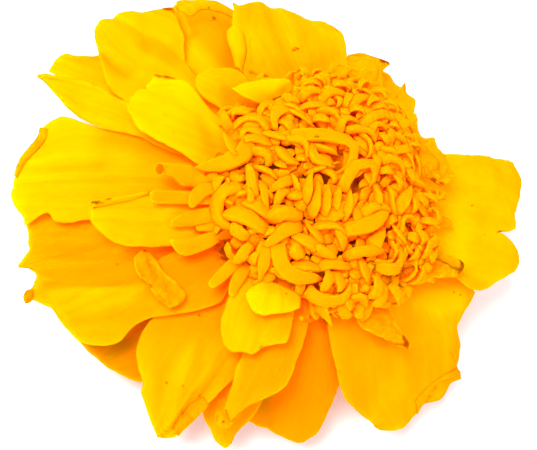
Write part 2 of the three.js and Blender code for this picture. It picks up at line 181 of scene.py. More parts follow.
def waves(points, wavelength, seed, count=9):
    """A smooth random field between about -1 and 1."""
    draw = np.random.default_rng(seed)
    k = unit(draw.normal(size=(count, 3))) * 2 * np.pi / wavelength * draw.uniform(0.7, 1.4, (count, 1))
    phase = draw.uniform(0, 2 * np.pi, count)
    return np.sin(points @ k.T + phase).sum(-1) / math.sqrt(count) / 1.2


def off_line(pixels, line):
    """The distance of pixels from a line of pixels."""
    line = np.array(line if len(line) > 1 else line * 2)
    best = np.full(pixels.shape[:-1], np.inf)
    for a, b in zip(line[:-1], line[1:]):
        way = b - a
        t = np.clip((pixels - a) @ way / max(way @ way, 1e-9), 0, 1)
        best = np.minimum(best, np.linalg.norm(pixels - a - t[..., None] * way, axis=-1))
    return best


def near_lines(pixels, text):
    """The sum of soft bands along a table's lines of pixels, each with its amount and its width in pixels."""
    total = np.zeros(pixels.shape[:-1])
    for line, amount, width in table(text):
        total += amount * np.exp(-((off_line(pixels, line) / width) ** 2))
    return total


# Meshes
def add_piece(name, points, faces, attributes, material):
    """Makes a piece of the flower from one mesh of closed parts, for the node of the same name."""
    mesh = bpy.data.meshes.new(name)
    mesh.from_pydata((points * MM).tolist(), [], faces)
    for key, values in attributes.items():
        layer = mesh.attributes.new(key, "FLOAT", "POINT")
        layer.data.foreach_set("value", values.astype(np.float32))
    mesh.polygons.foreach_set("use_smooth", [True] * len(mesh.polygons))
    mesh.materials.append(material)
    mesh.validate()
    mesh.update()
    piece = bpy.data.objects.new(name, mesh)
    bpy.context.scene.collection.objects.link(piece)
    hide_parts(name)
    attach(piece, "root")


def sheet_faces(rows, columns):
    """The faces of a closed sheet: a grid of points, the same grid under it, and the walls round them."""
    under = (rows + 1) * (columns + 1)
    index = np.arange(under).reshape(rows + 1, columns + 1)
    a, b, c, d = index[:-1, :-1], index[1:, :-1], index[1:, 1:], index[:-1, 1:]
    top = np.stack([a, b, c, d], -1).reshape(-1, 4)
    bottom = np.stack([a, d, c, b], -1).reshape(-1, 4) + under
    loop = np.concatenate([index[0, :-1], index[:-1, -1], index[-1, :0:-1], index[:0:-1, 0]])
    ahead = np.roll(loop, -1)
    walls = np.stack([loop, ahead, ahead + under, loop + under], -1)
    return np.concatenate([top, bottom, walls]).tolist()


def tube_points(line, across_it, widths, depths, hollow=0.0):
    """Rings of points round a line, each an oval with its under side drawn in."""
    angle = np.linspace(0, 2 * np.pi, TUBE_SIDES, endpoint=False)
    x, y = np.cos(angle), np.sin(angle)
    y = np.where(y < 0, y * (1 - hollow * (1 - x * x) * 1.6), y)
    rings = []
    for point, ahead, width, depth in zip(line, unit(np.gradient(line, axis=0)), widths, depths):
        across_it = unit(across_it - ahead * (across_it @ ahead))
        deep = np.cross(across_it, ahead)
        rings.append(point + across_it * (width * x)[:, None] + deep * (depth * y)[:, None])
    return np.array(rings)


class Bundle:
    """Many closed tubes, each a stack of rings, gathered into one mesh."""

    def __init__(self):
        self.points, self.faces, self.layers, self.count = [], [], {}, 0

    def take(self, rings, **layers):
        shape = rings.shape[:2]
        index = self.count + np.arange(shape[0] * shape[1]).reshape(shape)
        a, b = index[:-1], index[1:]
        self.faces += np.stack([a, np.roll(a, -1, 1), np.roll(b, -1, 1), b], -1).reshape(-1, 4).tolist()
        self.faces += [index[0][::-1].tolist(), index[-1].tolist()]
        self.points.append(rings.reshape(-1, 3))
        for key, value in layers.items():
            value = np.asarray(value, float)
            full = np.broadcast_to(value if value.ndim == 2 else value.reshape(-1, 1), shape)
            self.layers.setdefault(key, []).append(full.ravel())
        self.count += index.size

    def add_as(self, name, material):
        layers = {key: np.concatenate(value) for key, value in self.layers.items()}
        add_piece(name, np.concatenate(self.points), self.faces, layers, material)


# Petals
NECK_RADIUS = 6.6
CLAW_RADIUS = NECK_RADIUS + 0.9
CLAW = 0.8
LAYER_INSET = 0.75
LAYER_PITCH = 0.78
FIRST_LAYER = 0.45
KNEE, BEND = 0.4, 0.36
WIDTH_STATIONS = [0, 0.25, 0.5, 0.75, 0.95, 1.15]
PETAL_THICK = 0.3
FLAP_THICK = 0.26
FLAP_ROWS, FLAP_COLUMNS = 26, 9
PLAIN = dict(camber=0.25, ruffle=0.3, crinkle=0.0, tint=0.5, painted_shade=0.0, folds=(), flaps="", creases="",
             light_and_shade="", painted_shades="", rot_and_shade_marks="")

# The waves in a petal's relief: how long and how high they are, and how far in from the margin the first two
# reach. The height of the first is the petal's ruffle, that of the crinkles its crinkle. RIBS is how many
# fine ribs are in half a petal's width, and RIB_BEND is how long the waves are that bend them.
MARGIN_WAVE, MARGIN_REACH = 6.5, 1.8
FRILL, FRILL_HEIGHT, FRILL_REACH = 2.2, 0.08, 0.8
SWELL, SWELL_HEIGHT = 8.0, 0.13
RIPPLE, RIPPLE_HEIGHT = 3.2, 0.04
GRAIN, GRAIN_HEIGHT = 0.9, 0.008
CRINKLE, FINE_CRINKLE = 1.6, 0.8
RIBS, RIB_HEIGHT, RIB_BEND = 8.5, 0.01, 14.0


def frayed(line, seed):
    """How far a petal's margin is worn back, along the margin."""
    places = np.concatenate([line, np.zeros((len(line), 1))], 1)
    return 0.06 * (1 + waves(places, 2.6, seed + 7)) + 0.04 * (1 + waves(places, 1.1, seed + 8))


def untangled(patch, rounds=150):
    """A grid of places whose folded-over cells are drawn straight, while its border stays."""
    best, fewest = patch, patch.size
    for _ in range(rounds):
        along, side = patch[1:, :-1] - patch[:-1, :-1], patch[:-1, 1:] - patch[:-1, :-1]
        folded = along[..., 0] * side[..., 1] - along[..., 1] * side[..., 0] < 0
        if folded.sum() < fewest:
            best, fewest = patch.copy(), folded.sum()
        if not fewest:
            break
        near = np.pad(folded, 3)
        near = sum(np.roll(near, (i, j), (0, 1)) for i in range(-2, 4) for j in range(-2, 4))[3:-2, 3:-2] > 0
        mean = (patch[2:, 1:-1] + patch[:-2, 1:-1] + patch[1:-1, 2:] + patch[1:-1, :-2]) / 4
        patch[1:-1, 1:-1] += 0.8 * near[1:-1, 1:-1, None] * (mean - patch[1:-1, 1:-1])
    return best


class Petal:
    """The curved strip on which a petal is drawn: s runs along it and u across it, in millimetres."""

    def __init__(self, tip, rise, drop, left, right, layer=0, root=0, start=None, base=CLAW, **looks):
        claw = start or (tip[0] + root, CLAW_RADIUS - LAYER_INSET * layer, FIRST_LAYER + LAYER_PITCH * layer)
        self.start, self.end = placed(*claw), placed(*tip)
        span = np.linalg.norm(self.end - self.start)
        level = unit((self.end - self.start) * [1, 1, 0])
        first = level if start else unit((self.start - AXIS) * [1, 1, 0])
        up, down = math.radians(rise), math.radians(drop)
        self.knee = self.start + KNEE * span * (first * math.cos(up) + UP_Z * math.sin(up))
        self.bend = self.end - BEND * span * (level * math.cos(down) + UP_Z * math.sin(down))
        line, _ = self.line(np.linspace(0, 1, 200))
        self.length = np.linalg.norm(np.diff(line, axis=0), axis=1).sum()
        self.widths, self.base = {1: left, -1: right}, base
        self.looks = {**PLAIN, **looks}

    def line(self, s):
        q = np.minimum(np.asarray(s, float)[..., None], 1)
        a, b, c, d = self.start, self.knee, self.bend, self.end
        centre = (1 - q) ** 3 * a + 3 * q * (1 - q) ** 2 * b + 3 * q * q * (1 - q) * c + q**3 * d
        along = unit((1 - q) ** 2 * (b - a) + 2 * q * (1 - q) * (c - b) + q * q * (d - c))
        return centre, along

    def strip(self, s):
        """The strip's middle line, its sideways direction and its normal."""
        centre, along = self.line(s)
        centre = centre + along * (np.maximum(np.asarray(s) - 1, 0) * self.length)[..., None]
        side = unit(np.cross(UP_Z, along))
        return centre, side, np.cross(along, side)

    def half(self, s, sign):
        w = self.widths[sign]
        return through(WIDTH_STATIONS, [self.base, *w, w[3] - 0.3 * (w[2] - w[3])], s)

    def across(self, s, u):
        """How far across the petal a place is: 0 in its middle, nearly 1 at the sides."""
        a = u / np.where(u > 0, self.half(s, 1), self.half(s, -1))
        return a / (1 + a**4) ** 0.25

    def at_pixel(self, pixel):
        """Where on the strip a pixel of the photo is."""
        s = np.linspace(0.02, 1.4, 277)
        centre, side, _ = self.strip(s)
        origin = project(centre)
        reach = project(centre + side) - origin
        gap = np.array(pixel) - origin
        turn = reach[:, 0] * gap[:, 1] - reach[:, 1] * gap[:, 0]
        cross = np.nonzero(turn[:-1] * turn[1:] <= 0)[0]
        if len(cross) == 0:
            cross = [int(np.argmin(np.abs(turn[:-1])))]
        u = (gap * reach).sum(-1) / (reach * reach).sum(-1)
        k = min(cross, key=lambda i: abs(u[i]))
        part = turn[k] / (turn[k] - turn[k + 1]) if turn[k] != turn[k + 1] else 0
        place = s[k] + np.clip(part, 0, 1) * (s[k + 1] - s[k])
        centre, side, _ = self.strip(place)
        width = u[k]
        for _ in range(3):
            reach = project(centre + side * width) - project(centre)
            width = width * (np.array(pixel) - project(centre)) @ reach / (reach @ reach)
        return np.array([place, width])

    def side_line(self, sign, pixels, corner):
        """One long edge, from the claw to a corner: as drawn, and through the pixels where it is seen."""
        seen = np.array([self.at_pixel(p) for p in pixels] + [corner])
        s1, u1 = seen[0]
        s = np.linspace(0, s1, 14)
        shift = u1 - sign * self.half(s1, sign)
        hidden = np.stack([s, sign * self.half(s, sign) + shift * (s / s1) ** 2], -1)
        return np.concatenate([hidden[:-1], seen])

    def grid(self, rows, columns, seed, outline):
        """Places on the strip for a grid of points that fills the petal's outline."""
        right, tip, left = table(outline)[0]
        margin = np.array([self.at_pixel(p) for p in tip])
        scale = np.array([self.length, 1.0])
        edge = {}
        for sign, pixels, corner in ((-1, right, margin[0]), (1, left, margin[-1])):
            line = resampled(rounded(self.side_line(sign, pixels, corner) * scale), rows + 1)
            line[:, 1] -= sign * frayed(line, seed) * smooth(0.25, 0.5, line[:, 0] / self.length)
            edge[sign] = line
        top = resampled(rounded(margin * scale, 1), columns + 1)
        top[:, 0] -= frayed(top, seed)
        top[[0, -1]] = edge[-1][-1], edge[1][-1]
        bottom = np.linspace(edge[-1][0], edge[1][0], columns + 1)
        a = np.linspace(0, 1, columns + 1)[None, :, None]
        b = np.linspace(0, 1, rows + 1)[:, None, None] ** 2
        patch = (1 - b) * bottom[None] + b * top[None] + (1 - a) * edge[-1][:, None] + a * edge[1][:, None]
        patch -= ((1 - a) * (1 - b) * bottom[0] + a * (1 - b) * bottom[-1]
                  + (1 - a) * b * top[0] + a * b * top[-1])
        patch = untangled(patch)
        self.outline = np.concatenate([edge[-1], top, edge[1][::-1]])
        return patch[..., 0] / self.length, patch[..., 1]

    def inside(self, s, u):
        """How far places on the strip are from the petal's outline."""
        places = np.stack([s * self.length, u], -1)
        return np.linalg.norm(places[:, :, None] - self.outline[None, None], axis=-1).min(-1)

    def relief(self, s, u, a, seed):
        """Points of the petal's surface, its normals, its pixels and how near its margin is."""
        looks, edge = self.looks, self.inside(s, u)
        centre, side, normal = self.strip(s)
        flat = centre + side * u[..., None]
        seen = project(flat)
        # Arching, folds and creases, then waves of the margin and of the face, fine ribs, and crinkles
        grown = smooth(0.05, 0.45, s)
        lift = looks["camber"] * (1 - a * a) * grown
        for where, amount, width in looks["folds"]:
            lift = lift + amount * np.exp(-(((a - where) / width) ** 2)) * smooth(0.15, 0.5, s)
        lift = lift + near_lines(seen, looks["creases"])
        free = 0.35 + 0.65 * smooth(0.6, 1.0, s)
        ruffled = looks["ruffle"] * np.exp(-edge / MARGIN_REACH) * free
        lift = lift + ruffled * waves(flat, MARGIN_WAVE, seed) * grown
        frilled = FRILL_HEIGHT * np.exp(-edge / FRILL_REACH) * free
        lift = lift + frilled * waves(flat, FRILL, seed + 6) * grown
        swell = SWELL_HEIGHT * waves(flat, SWELL, seed + 1)
        lift = lift + (swell + RIPPLE_HEIGHT * waves(flat, RIPPLE, seed + 9)) * grown
        ribs = np.sin(2 * np.pi * (RIBS * a + 0.2 * waves(flat, RIB_BEND, seed + 2)))
        lift = lift + RIB_HEIGHT * ribs * grown + GRAIN_HEIGHT * waves(flat, GRAIN, seed + 3)
        crumpled = waves(flat, CRINKLE, seed + 4) + 0.5 * waves(flat, FINE_CRINKLE, seed + 5)
        lift = lift + looks["crinkle"] * crumpled
        return flat + normal * lift[..., None], normal, seen, edge


def add_sheet(parts, petal, middle, thick, seen, edge, tone, **layers):
    """Adds the closed sheet round a grid of points to a petal's parts."""
    outward = unit(np.cross(np.gradient(middle, axis=0), np.gradient(middle, axis=1)))
    half = outward * (thick * (0.25 + 0.75 * (1 - np.exp(-edge / 0.7))))[..., None] / 2
    points = np.concatenate([(middle + half).reshape(-1, 3), (middle - half).reshape(-1, 3)])
    looks = petal.looks
    layers["edge"] = np.minimum(edge, 5)
    # Painted light and shade: the tint holds the petal's tone together with lines that make lit places paler
    # and shaded places deeper
    layers["tint"] = tone + looks["tint"] + near_lines(seen, looks["light_and_shade"])
    # Brown marks: rot at rims and spots, and painted shade in the dark gaps next to the disc
    layers["decay_and_shade"] = near_lines(seen, looks["rot_and_shade_marks"])
    # Painted shade: the ochre share darkens the petals and parts of petals that lie in shade
    layers["painted_shade"] = looks["painted_shade"] + near_lines(seen, looks["painted_shades"])
    attributes = {key: np.concatenate([value.ravel()] * 2) for key, value in layers.items()}
    attributes["under"] = np.repeat([0.0, 1.0], len(points) // 2)
    start = sum(len(part[0]) for part in parts)
    faces = np.array(sheet_faces(middle.shape[0] - 1, middle.shape[1] - 1)) + start
    parts.append((points, faces.tolist(), attributes))


def add_flap(parts, petal, seed, hinge, free, bulge, gap, tone):
    """A fold of a petal that lies over it, from the pixels of its hinge to the pixels of its free edge."""
    near, far = (resampled(rounded(line), FLAP_ROWS + 1) for line in (hinge, free))
    v = np.linspace(0, 1, FLAP_COLUMNS + 1)
    pixels = near[:, None] + v[None, :, None] * (far - near)[:, None]
    places = np.array([[petal.at_pixel(p) for p in row] for row in pixels])
    s, u = places[..., 0], places[..., 1]
    a = petal.across(s, u)
    surface, normal, seen, _ = petal.relief(s, u, a, seed)
    ends = np.sin(np.pi * np.linspace(0.04, 0.96, FLAP_ROWS + 1))[:, None] ** 0.5
    lift = (bulge * np.sin(np.pi * v**0.75) + gap * v + 0.05) * ends
    lift = lift + 0.12 * v * waves(surface, 2.6, seed + 17)
    middle = surface + normal * lift[..., None]
    if (np.cross(np.gradient(middle, axis=0), np.gradient(middle, axis=1)) * normal).sum() < 0:
        middle, seen, s, a = middle[::-1], seen[::-1], s[::-1], a[::-1]
    edge = np.broadcast_to((1 - v) * np.linalg.norm(middle[:, -1] - middle[:, 0], axis=-1)[:, None], s.shape)
    kind = np.full(s.shape, seed % 89 / 89)
    # The flap's tone is painted light where the fold is lit and painted shade where it is shaded
    add_sheet(parts, petal, middle, FLAP_THICK, seen, edge, tone, along=s, across=a, kind=kind)


def add_petal(name, slot, material, rows, columns, seed, outline, **shape):
    petal = Petal(**shape)
    s, u = petal.grid(rows, columns, seed, outline)
    a = petal.across(s, u)
    middle, normal, seen, edge = petal.relief(s, u, a, seed)
    middle = middle - normal * (0.05 * np.exp(-edge / 0.25))[..., None]
    kind = np.full(s.shape, seed % 97 / 97)
    parts = []
    add_sheet(parts, petal, middle, PETAL_THICK, seen, edge, 0, along=s, across=a, kind=kind)
    for number, flap in enumerate(table(petal.looks["flaps"])):
        add_flap(parts, petal, seed + number, *flap)
    points = np.concatenate([part[0] for part in parts])
    faces = [face for part in parts for face in part[1]]
    attributes = {key: np.concatenate([part[2][key] for part in parts]) for key in parts[0][2]}
    add_piece(name, points, faces, attributes, material)


# The petals. Their strips, as in the part's source: start and tip are an azimuth, a reach and a height over
# the rim, rise and drop slopes in degrees, left and right half widths. Folds run along a petal: where across
# it they are, how high and how wide. A petal's tint sets its tone and is partly painted light and shade: it
# is lower for petals that lie in shade. The tables are what the photo shows. outline: the clockwise side, the
# tip and the other side where they are seen. flaps: the hinge and the free edge of a margin that is folded
# over, its bulge, its gap and its tone, which is painted light where the fold is lit and painted shade where
# it is shaded. The others are lines with an amount and a width in pixels: creases lift the surface (in
# millimetres); the lines of painted light and shade make the surface paler where it is lit and deeper where
# it is shaded; the ochre lines are painted shade on the shaded parts of a petal, as is its ochre share; the
# brown marks turn it brown, for rot at rims and spots and as painted shade in the dark gaps next to the disc.
RAYS = {
    "ray_petal_01": dict(
        tip=(1, 34, -7), layer=2, rise=6, drop=-40, left=[4.2, 7.8, 9.6, 9], right=[6.2, 10.6, 10, 4.6],
        tint=0.86, camber=0.2, folds=[(-0.1, -0.25, 0.2), (0.5, 0.15, 0.2)],
        outline="""476,292 487,290 501,280 / 515,272 520,266 519,260 515,248 507,236 496,229.5 512,233
            513,222 520,200 521,182 518,172 512,163 / 443,153 467,154 490,156""",
        creases="455,215 480,225 497,230 -.15 6; 450,178 480,174 505,178 .12 8",
        light_and_shade="440,270 460,282 478,290 -.2 8; 430,192 438,215 438,250 .95 20",
        rot_and_shade_marks="470,206 .7 1.6; 441,157 443,158 .6 3; 485,235 .45 1.6"),
    "ray_petal_02": dict(
        tip=(40, 25.6, -7), root=-3, rise=2, drop=-35, left=[2.2, 3, 3.4, 2.4], right=[2.6, 4.8, 6, 4.4],
        tint=0.75,
        outline="""/ 440,166 441,153 437,145 433,137 425,139 420,137 417,130 417,116 413,113 416,101 411,96
            406,92 406,86 404,82 402,88 397,85 390,78 381,70 /""",
        light_and_shade="410,130 414,140 -.3 6",
        rot_and_shade_marks="411,133 409,140 .5 3; 404,82 405,92 .45 2.5; 427,141 425,146 .4 2"),
    "ray_petal_03": dict(
        tip=(57, 30.5, -7.5), root=4, rise=6, drop=-35, left=[2.2, 3.8, 3.8, 2.2],
        right=[2.2, 3.2, 2.6, 1.6], tint=0.6,
        outline="380,74 / 388,67 388,64 379,60 370,56 363,52 354,53 348,54 345,62 /",
        flaps="""328,84 350,84 374,84 / 333,66 340,60 352,65 362,62 374,68 .5 .5 .05;
            312,90 328,90 345,90 / 317,76 325,72 334,77 342,71 350,76 .5 .9 .05""",
        rot_and_shade_marks="350,55 370,58 388,64 .45 1.8; 380,63 388,65 .9 3"),
    "ray_petal_04": dict(
        tip=(87, 29, -6), layer=1, rise=8, drop=-45, left=[3.8, 6.8, 8, 6.2], right=[3.6, 6, 6.8, 5.8],
        tint=0.68, folds=[(0.55, 0.4, 0.15), (0.2, -0.2, 0.15), (-0.4, 0.2, 0.2)],
        outline="""348,60 347,48 343,37 338,30 336,33 / 332,25 323,19 307,19 297,15 287,12 270,9 253,5 240,8
            236,8 231,4 / 246,85 240,64 236,46 232,30""",
        flaps="233,26 227,31 228,42 232,56 235,68 / 240,28 246,36 247,47 245,61 242,73 .6 -.08 .05",
        creases="246,28 250,45 252,62 -.2 5; 262,20 268,45 275,66 .15 6; 310,30 305,50 296,70 -.15 7",
        light_and_shade="240,32 243,55 .1 7; 330,60 300,76 -.2 12",
        rot_and_shade_marks="250,74 256,76 .8 2; 293,51 301,49 .8 1.8; 332,28 336,33 .5 2; 343,38 347,48 .3 2"),
    "ray_petal_05": dict(
        tip=(108, 30.5, -7.8), rise=4, drop=-40, left=[2.6, 4.8, 5.4, 3.8], right=[2.6, 5, 5.4, 3.8],
        tint=0.45,
        outline="/ 246,18 236,12 222,7 206,3 190,1 180,.5 171,8 / 192,84 177,68 172,50 172,34 171,20",
        flaps="""176,4 185,1 206,3 222,7 240,19 243,27 / 177,9 182,15 190,19 196,16 200,13 214,14 229,18
            241,28 .45 .1 .2""",
        creases="197,22 217,21 233,27 -.35 4; 183,16 186,27 189,36 .3 4",
        light_and_shade="""203,21 214,23 223,28 229,45 232,68 -.42 9; 190,46 198,62 210,76 .4 13;
            177,14 180,29 187,41 196,35 -.4 2.2""",
        rot_and_shade_marks="211,22 214,20 1 1.8"),
    "ray_petal_06": dict(
        tip=(131, 33, -6), layer=1, root=-2, rise=8, drop=-38, left=[3.2, 5.6, 6.2, 4],
        right=[3.2, 5.2, 5, 3.2], tint=0.68,
        folds=[(-0.05, -0.45, 0.14), (0.45, 0.25, 0.2), (-0.5, 0.25, 0.2)],
        outline="""204,84 195,76 188,64 184,50 185,40 180,27 176,15 / 173,8 160,9 148,13 139,15 130,11
            114,15 104,19 97,25 94,33 / 140,117 122,101 110,90 104,80 102,66 98,54 95,44""",
        creases="""140,17 143,35 148,55 -.2 7; 100,52 112,64 124,73 136,72 -.35 4;
            101,46 116,56 130,64 .2 5; 155,36 166,50 .15 7""",
        light_and_shade="104,60 114,69 126,75 -.3 6; 152,48 166,58 182,48 -.2 12; 143,20 147,45 -.12 8",
        rot_and_shade_marks="164,7 170,8 176,11 2.4 3.6; 141,15 150,13 158,9 .5 2"),
    "ray_petal_07": dict(
        tip=(146, 33.5, -8), root=2, rise=4, drop=-34, left=[2.6, 4.6, 4.2, 2.6],
        right=[2.6, 4.2, 3.6, 2.2], tint=0.78,
        outline="/ 112,50 97,53 89,55 74,58 66,55 60,57 53,63 48,72 /", creases="60,62 80,70 100,80 .12 7",
        light_and_shade="76,59 100,56 -.35 5; 112,88 122,80 -.1 8"),
    "ray_petal_08": dict(
        tip=(155, 34.5, -4.5), layer=2, root=3, rise=7, drop=-32, left=[2.8, 4.6, 4.4, 1.4],
        right=[2.4, 3, 2.4, 0.9], tint=0.68, folds=[(-0.6, 0.3, 0.2)],
        outline="""125,102 108,93 95,85 76,78 57,74 / 46,74 40,76 36,78 42,81 / 140,138 130,137 113,132
            95,127 81,119 68,111 54,97""",
        creases="50,82 75,90 100,102 118,112 .2 7; 70,106 95,118 -.12 6",
        light_and_shade="72,113 90,124 105,131 130,137 -.3 4", rot_and_shade_marks="37,78 .6 4; 67,110 68,115 .6 2"),
    "ray_petal_09": dict(
        tip=(177, 34.5, -6), layer=1, rise=7, drop=-34, left=[3.4, 5.8, 6.4, 5], right=[3.4, 6.2, 7, 5],
        tint=0.8, folds=[(0.02, -0.3, 0.1), (0.4, 0.2, 0.2), (-0.45, 0.25, 0.25)],
        outline="""95,128 68,117 62,115 51,120 / 40,128 40,134 35,142 26,154 18,165 15,176 11,189 11,199
            16,210 22,217 24,225 / 89,220 65,224 53,223 51,214 40,217 30,222""",
        flaps="""40,128 40,134 35,142 26,154 18,165 15,177 / 48,130 47,140 40,150 31,160 23,169 18,179 .45
            .1 -.15""",
        creases="22,170 60,170 110,166 -.22 6; 40,190 90,188 .15 14",
        light_and_shade="""41,132 38,145 28,154 20,166 -.3 3.5; 25,170 60,169 100,166 -.15 4;
            110,137 135,141 165,158 -.35 14; 108,165 145,182 -.2 22; 30,222 60,224 90,219 -.15 5""",
        rot_and_shade_marks="40,130 38,142 27,151 .5 2; 17,164 18,168 .75 2.5; 11,198 16,208 22,216 .35 2"),
    "ray_petal_10": dict(
        tip=(-168, 34, -7.5), rise=4, drop=-30, left=[2.6, 4.4, 4.4, 2.4], right=[2.6, 5, 4.8, 2.8],
        tint=0.28, folds=[(-0.3, 0.2, 0.12), (0.1, -0.25, 0.1), (0.5, 0.2, 0.12)],
        outline="""/ 22,214 27,232 28,238 26,243 29,250 24,258 16,268 27,269 37,275 34,284 / 160,292 120,292
            80,291 48,291""",
        creases="35,250 90,252 140,256 -.3 6; 40,240 90,240 .15 6; 40,263 90,265 130,266 .25 6",
        light_and_shade="""35,250 90,251 125,252 -.15 7; 28,228 50,217 -.1 6; 118,250 150,254 195,262 .5 8;
            40,236 75,236 110,240 -.12 3; 40,258 80,259 120,262 -.12 2.5""",
        rot_and_shade_marks="16,267 22,262 .3 2"),
    "ray_petal_11": dict(
        tip=(-155, 33.5, -5.5), layer=2, rise=6, drop=-30, left=[3.2, 5.4, 6.4, 3.6],
        right=[3, 4.6, 5.2, 4.6], tint=0.38,
        folds=[(-0.45, 0.45, 0.16), (-0.1, -0.2, 0.15), (0.4, 0.2, 0.2)],
        outline="""236,234 205,242 176,249 154,262 140,278 122,285 100,286 72,285 57,280 48,275 41,275
            36,279 33,285 31,290 / 27,291 24,297 28,304 / 222,303 200,311 180,315 160,317 145,320 135,326
            124,339 116,345 100,346 86,345 76,340 70,332 63,325 58,318 53,309 49,308 43,306 36,302 31,299""",
        flaps="27,291 24,297 27,304 / 34,289 34,297 32,303 .6 .1 -.3",
        creases="""48,284 90,283 143,278 -.45 5; 55,295 100,292 145,288 .4 6; 45,272 62,273 80,277 .25 3;
            80,325 110,318 140,305 -.15 8""",
        light_and_shade="""45,284 90,284 145,279 -.3 5; 60,300 100,298 135,300 .2 12;
            170,270 190,268 205,260 226,252 -.4 16; 45,273 65,273 .2 3; 195,300 225,285 -.15 9;
            125,320 145,312 -.25 8""",
        # The wide brown line from 214,238 to 225,262 is painted shade in the dark gap by the disc; the others
        # are brown marks of the petal
        rot_and_shade_marks="26,292 28,303 .55 4; 214,238 223,248 225,262 .75 10; 186,305 1 2"),
    "ray_petal_12": dict(
        tip=(-143, 30, -9), root=-2, rise=3, drop=-34, left=[2.8, 5.4, 6.5, 4], right=[2.6, 4, 4.6, 3],
        # Painted shade: this petal lies in shade and is darkened to ochre all over
        tint=0.3, painted_shade=1.0, outline="/ 66,322 76,340 89,353 105,367 119,375 130,381 141,383 150,380 /",
        light_and_shade="133,332 148,320 .2 10", painted_shades="133,332 148,320 -.25 9"),
    "ray_petal_13": dict(
        tip=(-124, 32, -7), layer=1, root=-4, rise=4, drop=-34, left=[2.8, 4.4, 3.6, 1.8],
        right=[3.2, 6.4, 7.2, 2.6], tint=0.45,
        folds=[(0.1, 0.3, 0.12), (0.45, -0.3, 0.12), (-0.4, -0.15, 0.2)],
        outline="""206,304 189,307 168,311 155,315 146,323 139,337 135,352 137,366 141,379 142,386 139,391
            143,400 147,414 153,428 / 157,437 163,439 173,439 178,435 181,429 189,424 / 230,383 215,398
            201,412""",
        flaps="178,436 186,427 200,413 208,405 / 172,428 180,415 190,403 204,397 .4 .15 -.05",
        creases="""195,345 185,370 175,400 168,425 .35 6; 203,365 195,390 183,412 -.25 5;
            205,400 190,412 180,430 -.2 3; 150,350 152,390 160,425 .15 7""",
        light_and_shade="186,360 176,390 168,415 .18 9; 203,388 190,408 176,426 -.2 6; 150,325 190,320 -.15 10",
        rot_and_shade_marks="""200,396 1.2 2; 183,414 .7 2; 180,411 192,417 186,424 .3 3; 172,436 178,432 .4 2.5;
            219,347 .6 1.6"""),
    "ray_petal_14": dict(
        tip=(-109, 29, -9), root=-2, rise=3, drop=-35, left=[1.5, 2.4, 2.8, 1.4], right=[1.6, 3.4, 4.6, 2],
        tint=0.38, outline="202,417 208,427 / 215,441 220,446 225,449 231,444 / 248,422 238,432",
        light_and_shade="204,414 216,404 230,385 -.4 8"),
    "ray_petal_15": dict(
        tip=(-113, 28.4, -2.4), layer=2, root=7, rise=6, drop=-30, left=[2.2, 3.6, 4, 1.8],
        right=[2, 3, 3, 1.2], tint=0.3, folds=[(0, 0.25, 0.3)],
        outline="""232,383 227,397 223,411 / 217,413 215,418 217,423 223,425 232,420 / 293,370 288,387
            270,397 252,403""",
        flaps="217,412 215,418 218,424 224,426 / 226,409 227,415 229,420 232,421 .7 .1 0",
        creases="218,417 226,419 .45 5; 240,365 235,395 .2 6; 262,365 250,395 -.2 7",
        light_and_shade="232,352 290,352 -.15 9; 270,380 288,370 -.1 8",
        rot_and_shade_marks="221,419 .8 1.6; 276,397 281,392 .6 2; 217,414 216,420 .4 2"),
    "ray_petal_16": dict(
        tip=(-91, 26.5, -10), root=2, rise=4, drop=-42, left=[2.6, 4.6, 5.4, 3.8], right=[2.2, 4, 4.8, 4.2],
        # Painted shade: ochre where this petal lies in shade
        tint=0.25, painted_shade=0.42,
        outline="""236,410 / 248,422 258,428 268,431 280,437 290,441 299,443 307,438 317,432 323,423 330,409
            / 339,387 336,397""",
        creases="275,400 272,425 -.2 5; 305,350 300,400 298,430 .15 9",
        light_and_shade="250,405 275,425 .3 14; 300,345 326,350 332,375 -.1 9; 300,425 318,410 .2 12",
        painted_shades="262,395 268,425 .35 14", rot_and_shade_marks="254,412 .6 2.5; 310,342 .8 1.6; 335,384 .5 2"),
    "ray_petal_17": dict(
        tip=(-52, 27.6, -9), layer=1, root=2, rise=8, drop=-42, left=[5.8, 9.8, 10.8, 8.4],
        right=[6.4, 10.4, 12, 9.2], tint=0.56,
        folds=[(0.15, -0.3, 0.16), (-0.3, 0.2, 0.2), (0.6, 0.2, 0.15)],
        outline="""327,324 329,338 332,353 337,376 340,388 / 346,402 357,412 370,422 373,427 380,431 392,429
            399,427 405,422 421,415 420,404 433,401 440,396 445,388 452,380 459,379 461,372 454,368 457,357
            460,344 455,328 455,324 463,315 471,305 476,292 /""",
        flaps="""419,415 421,404 434,401 441,396 446,388 453,380 460,378 / 414,400 423,391 432,381 441,372
            453,367 .45 .2 -.05""",
        creases="""432,392 440,377 453,373 .3 4; 424,400 434,386 443,380 -.25 4;
            370,350 375,385 378,415 .2 12; 410,350 414,380 412,405 -.2 10; 385,310 420,318 450,325 .15 10""",
        light_and_shade="""345,325 360,340 385,346 -.15 10; 430,310 .1 20; 345,314 352,322 -.15 9;
            455,335 457,360 450,385 -.1 8; 350,318 385,305 425,300 450,300 .55 14; 390,385 405,400 .1 14""",
        rot_and_shade_marks="""453,296 .7 1.6; 459,294 .7 1.6; 428,353 .45 2; 388,404 .5 1.6; 411,381 .4 1.8;
            372,424 380,429 .4 2; 437,397 445,388 .4 2; 423,404 428,392 437,380 452,372 .4 2"""),
}

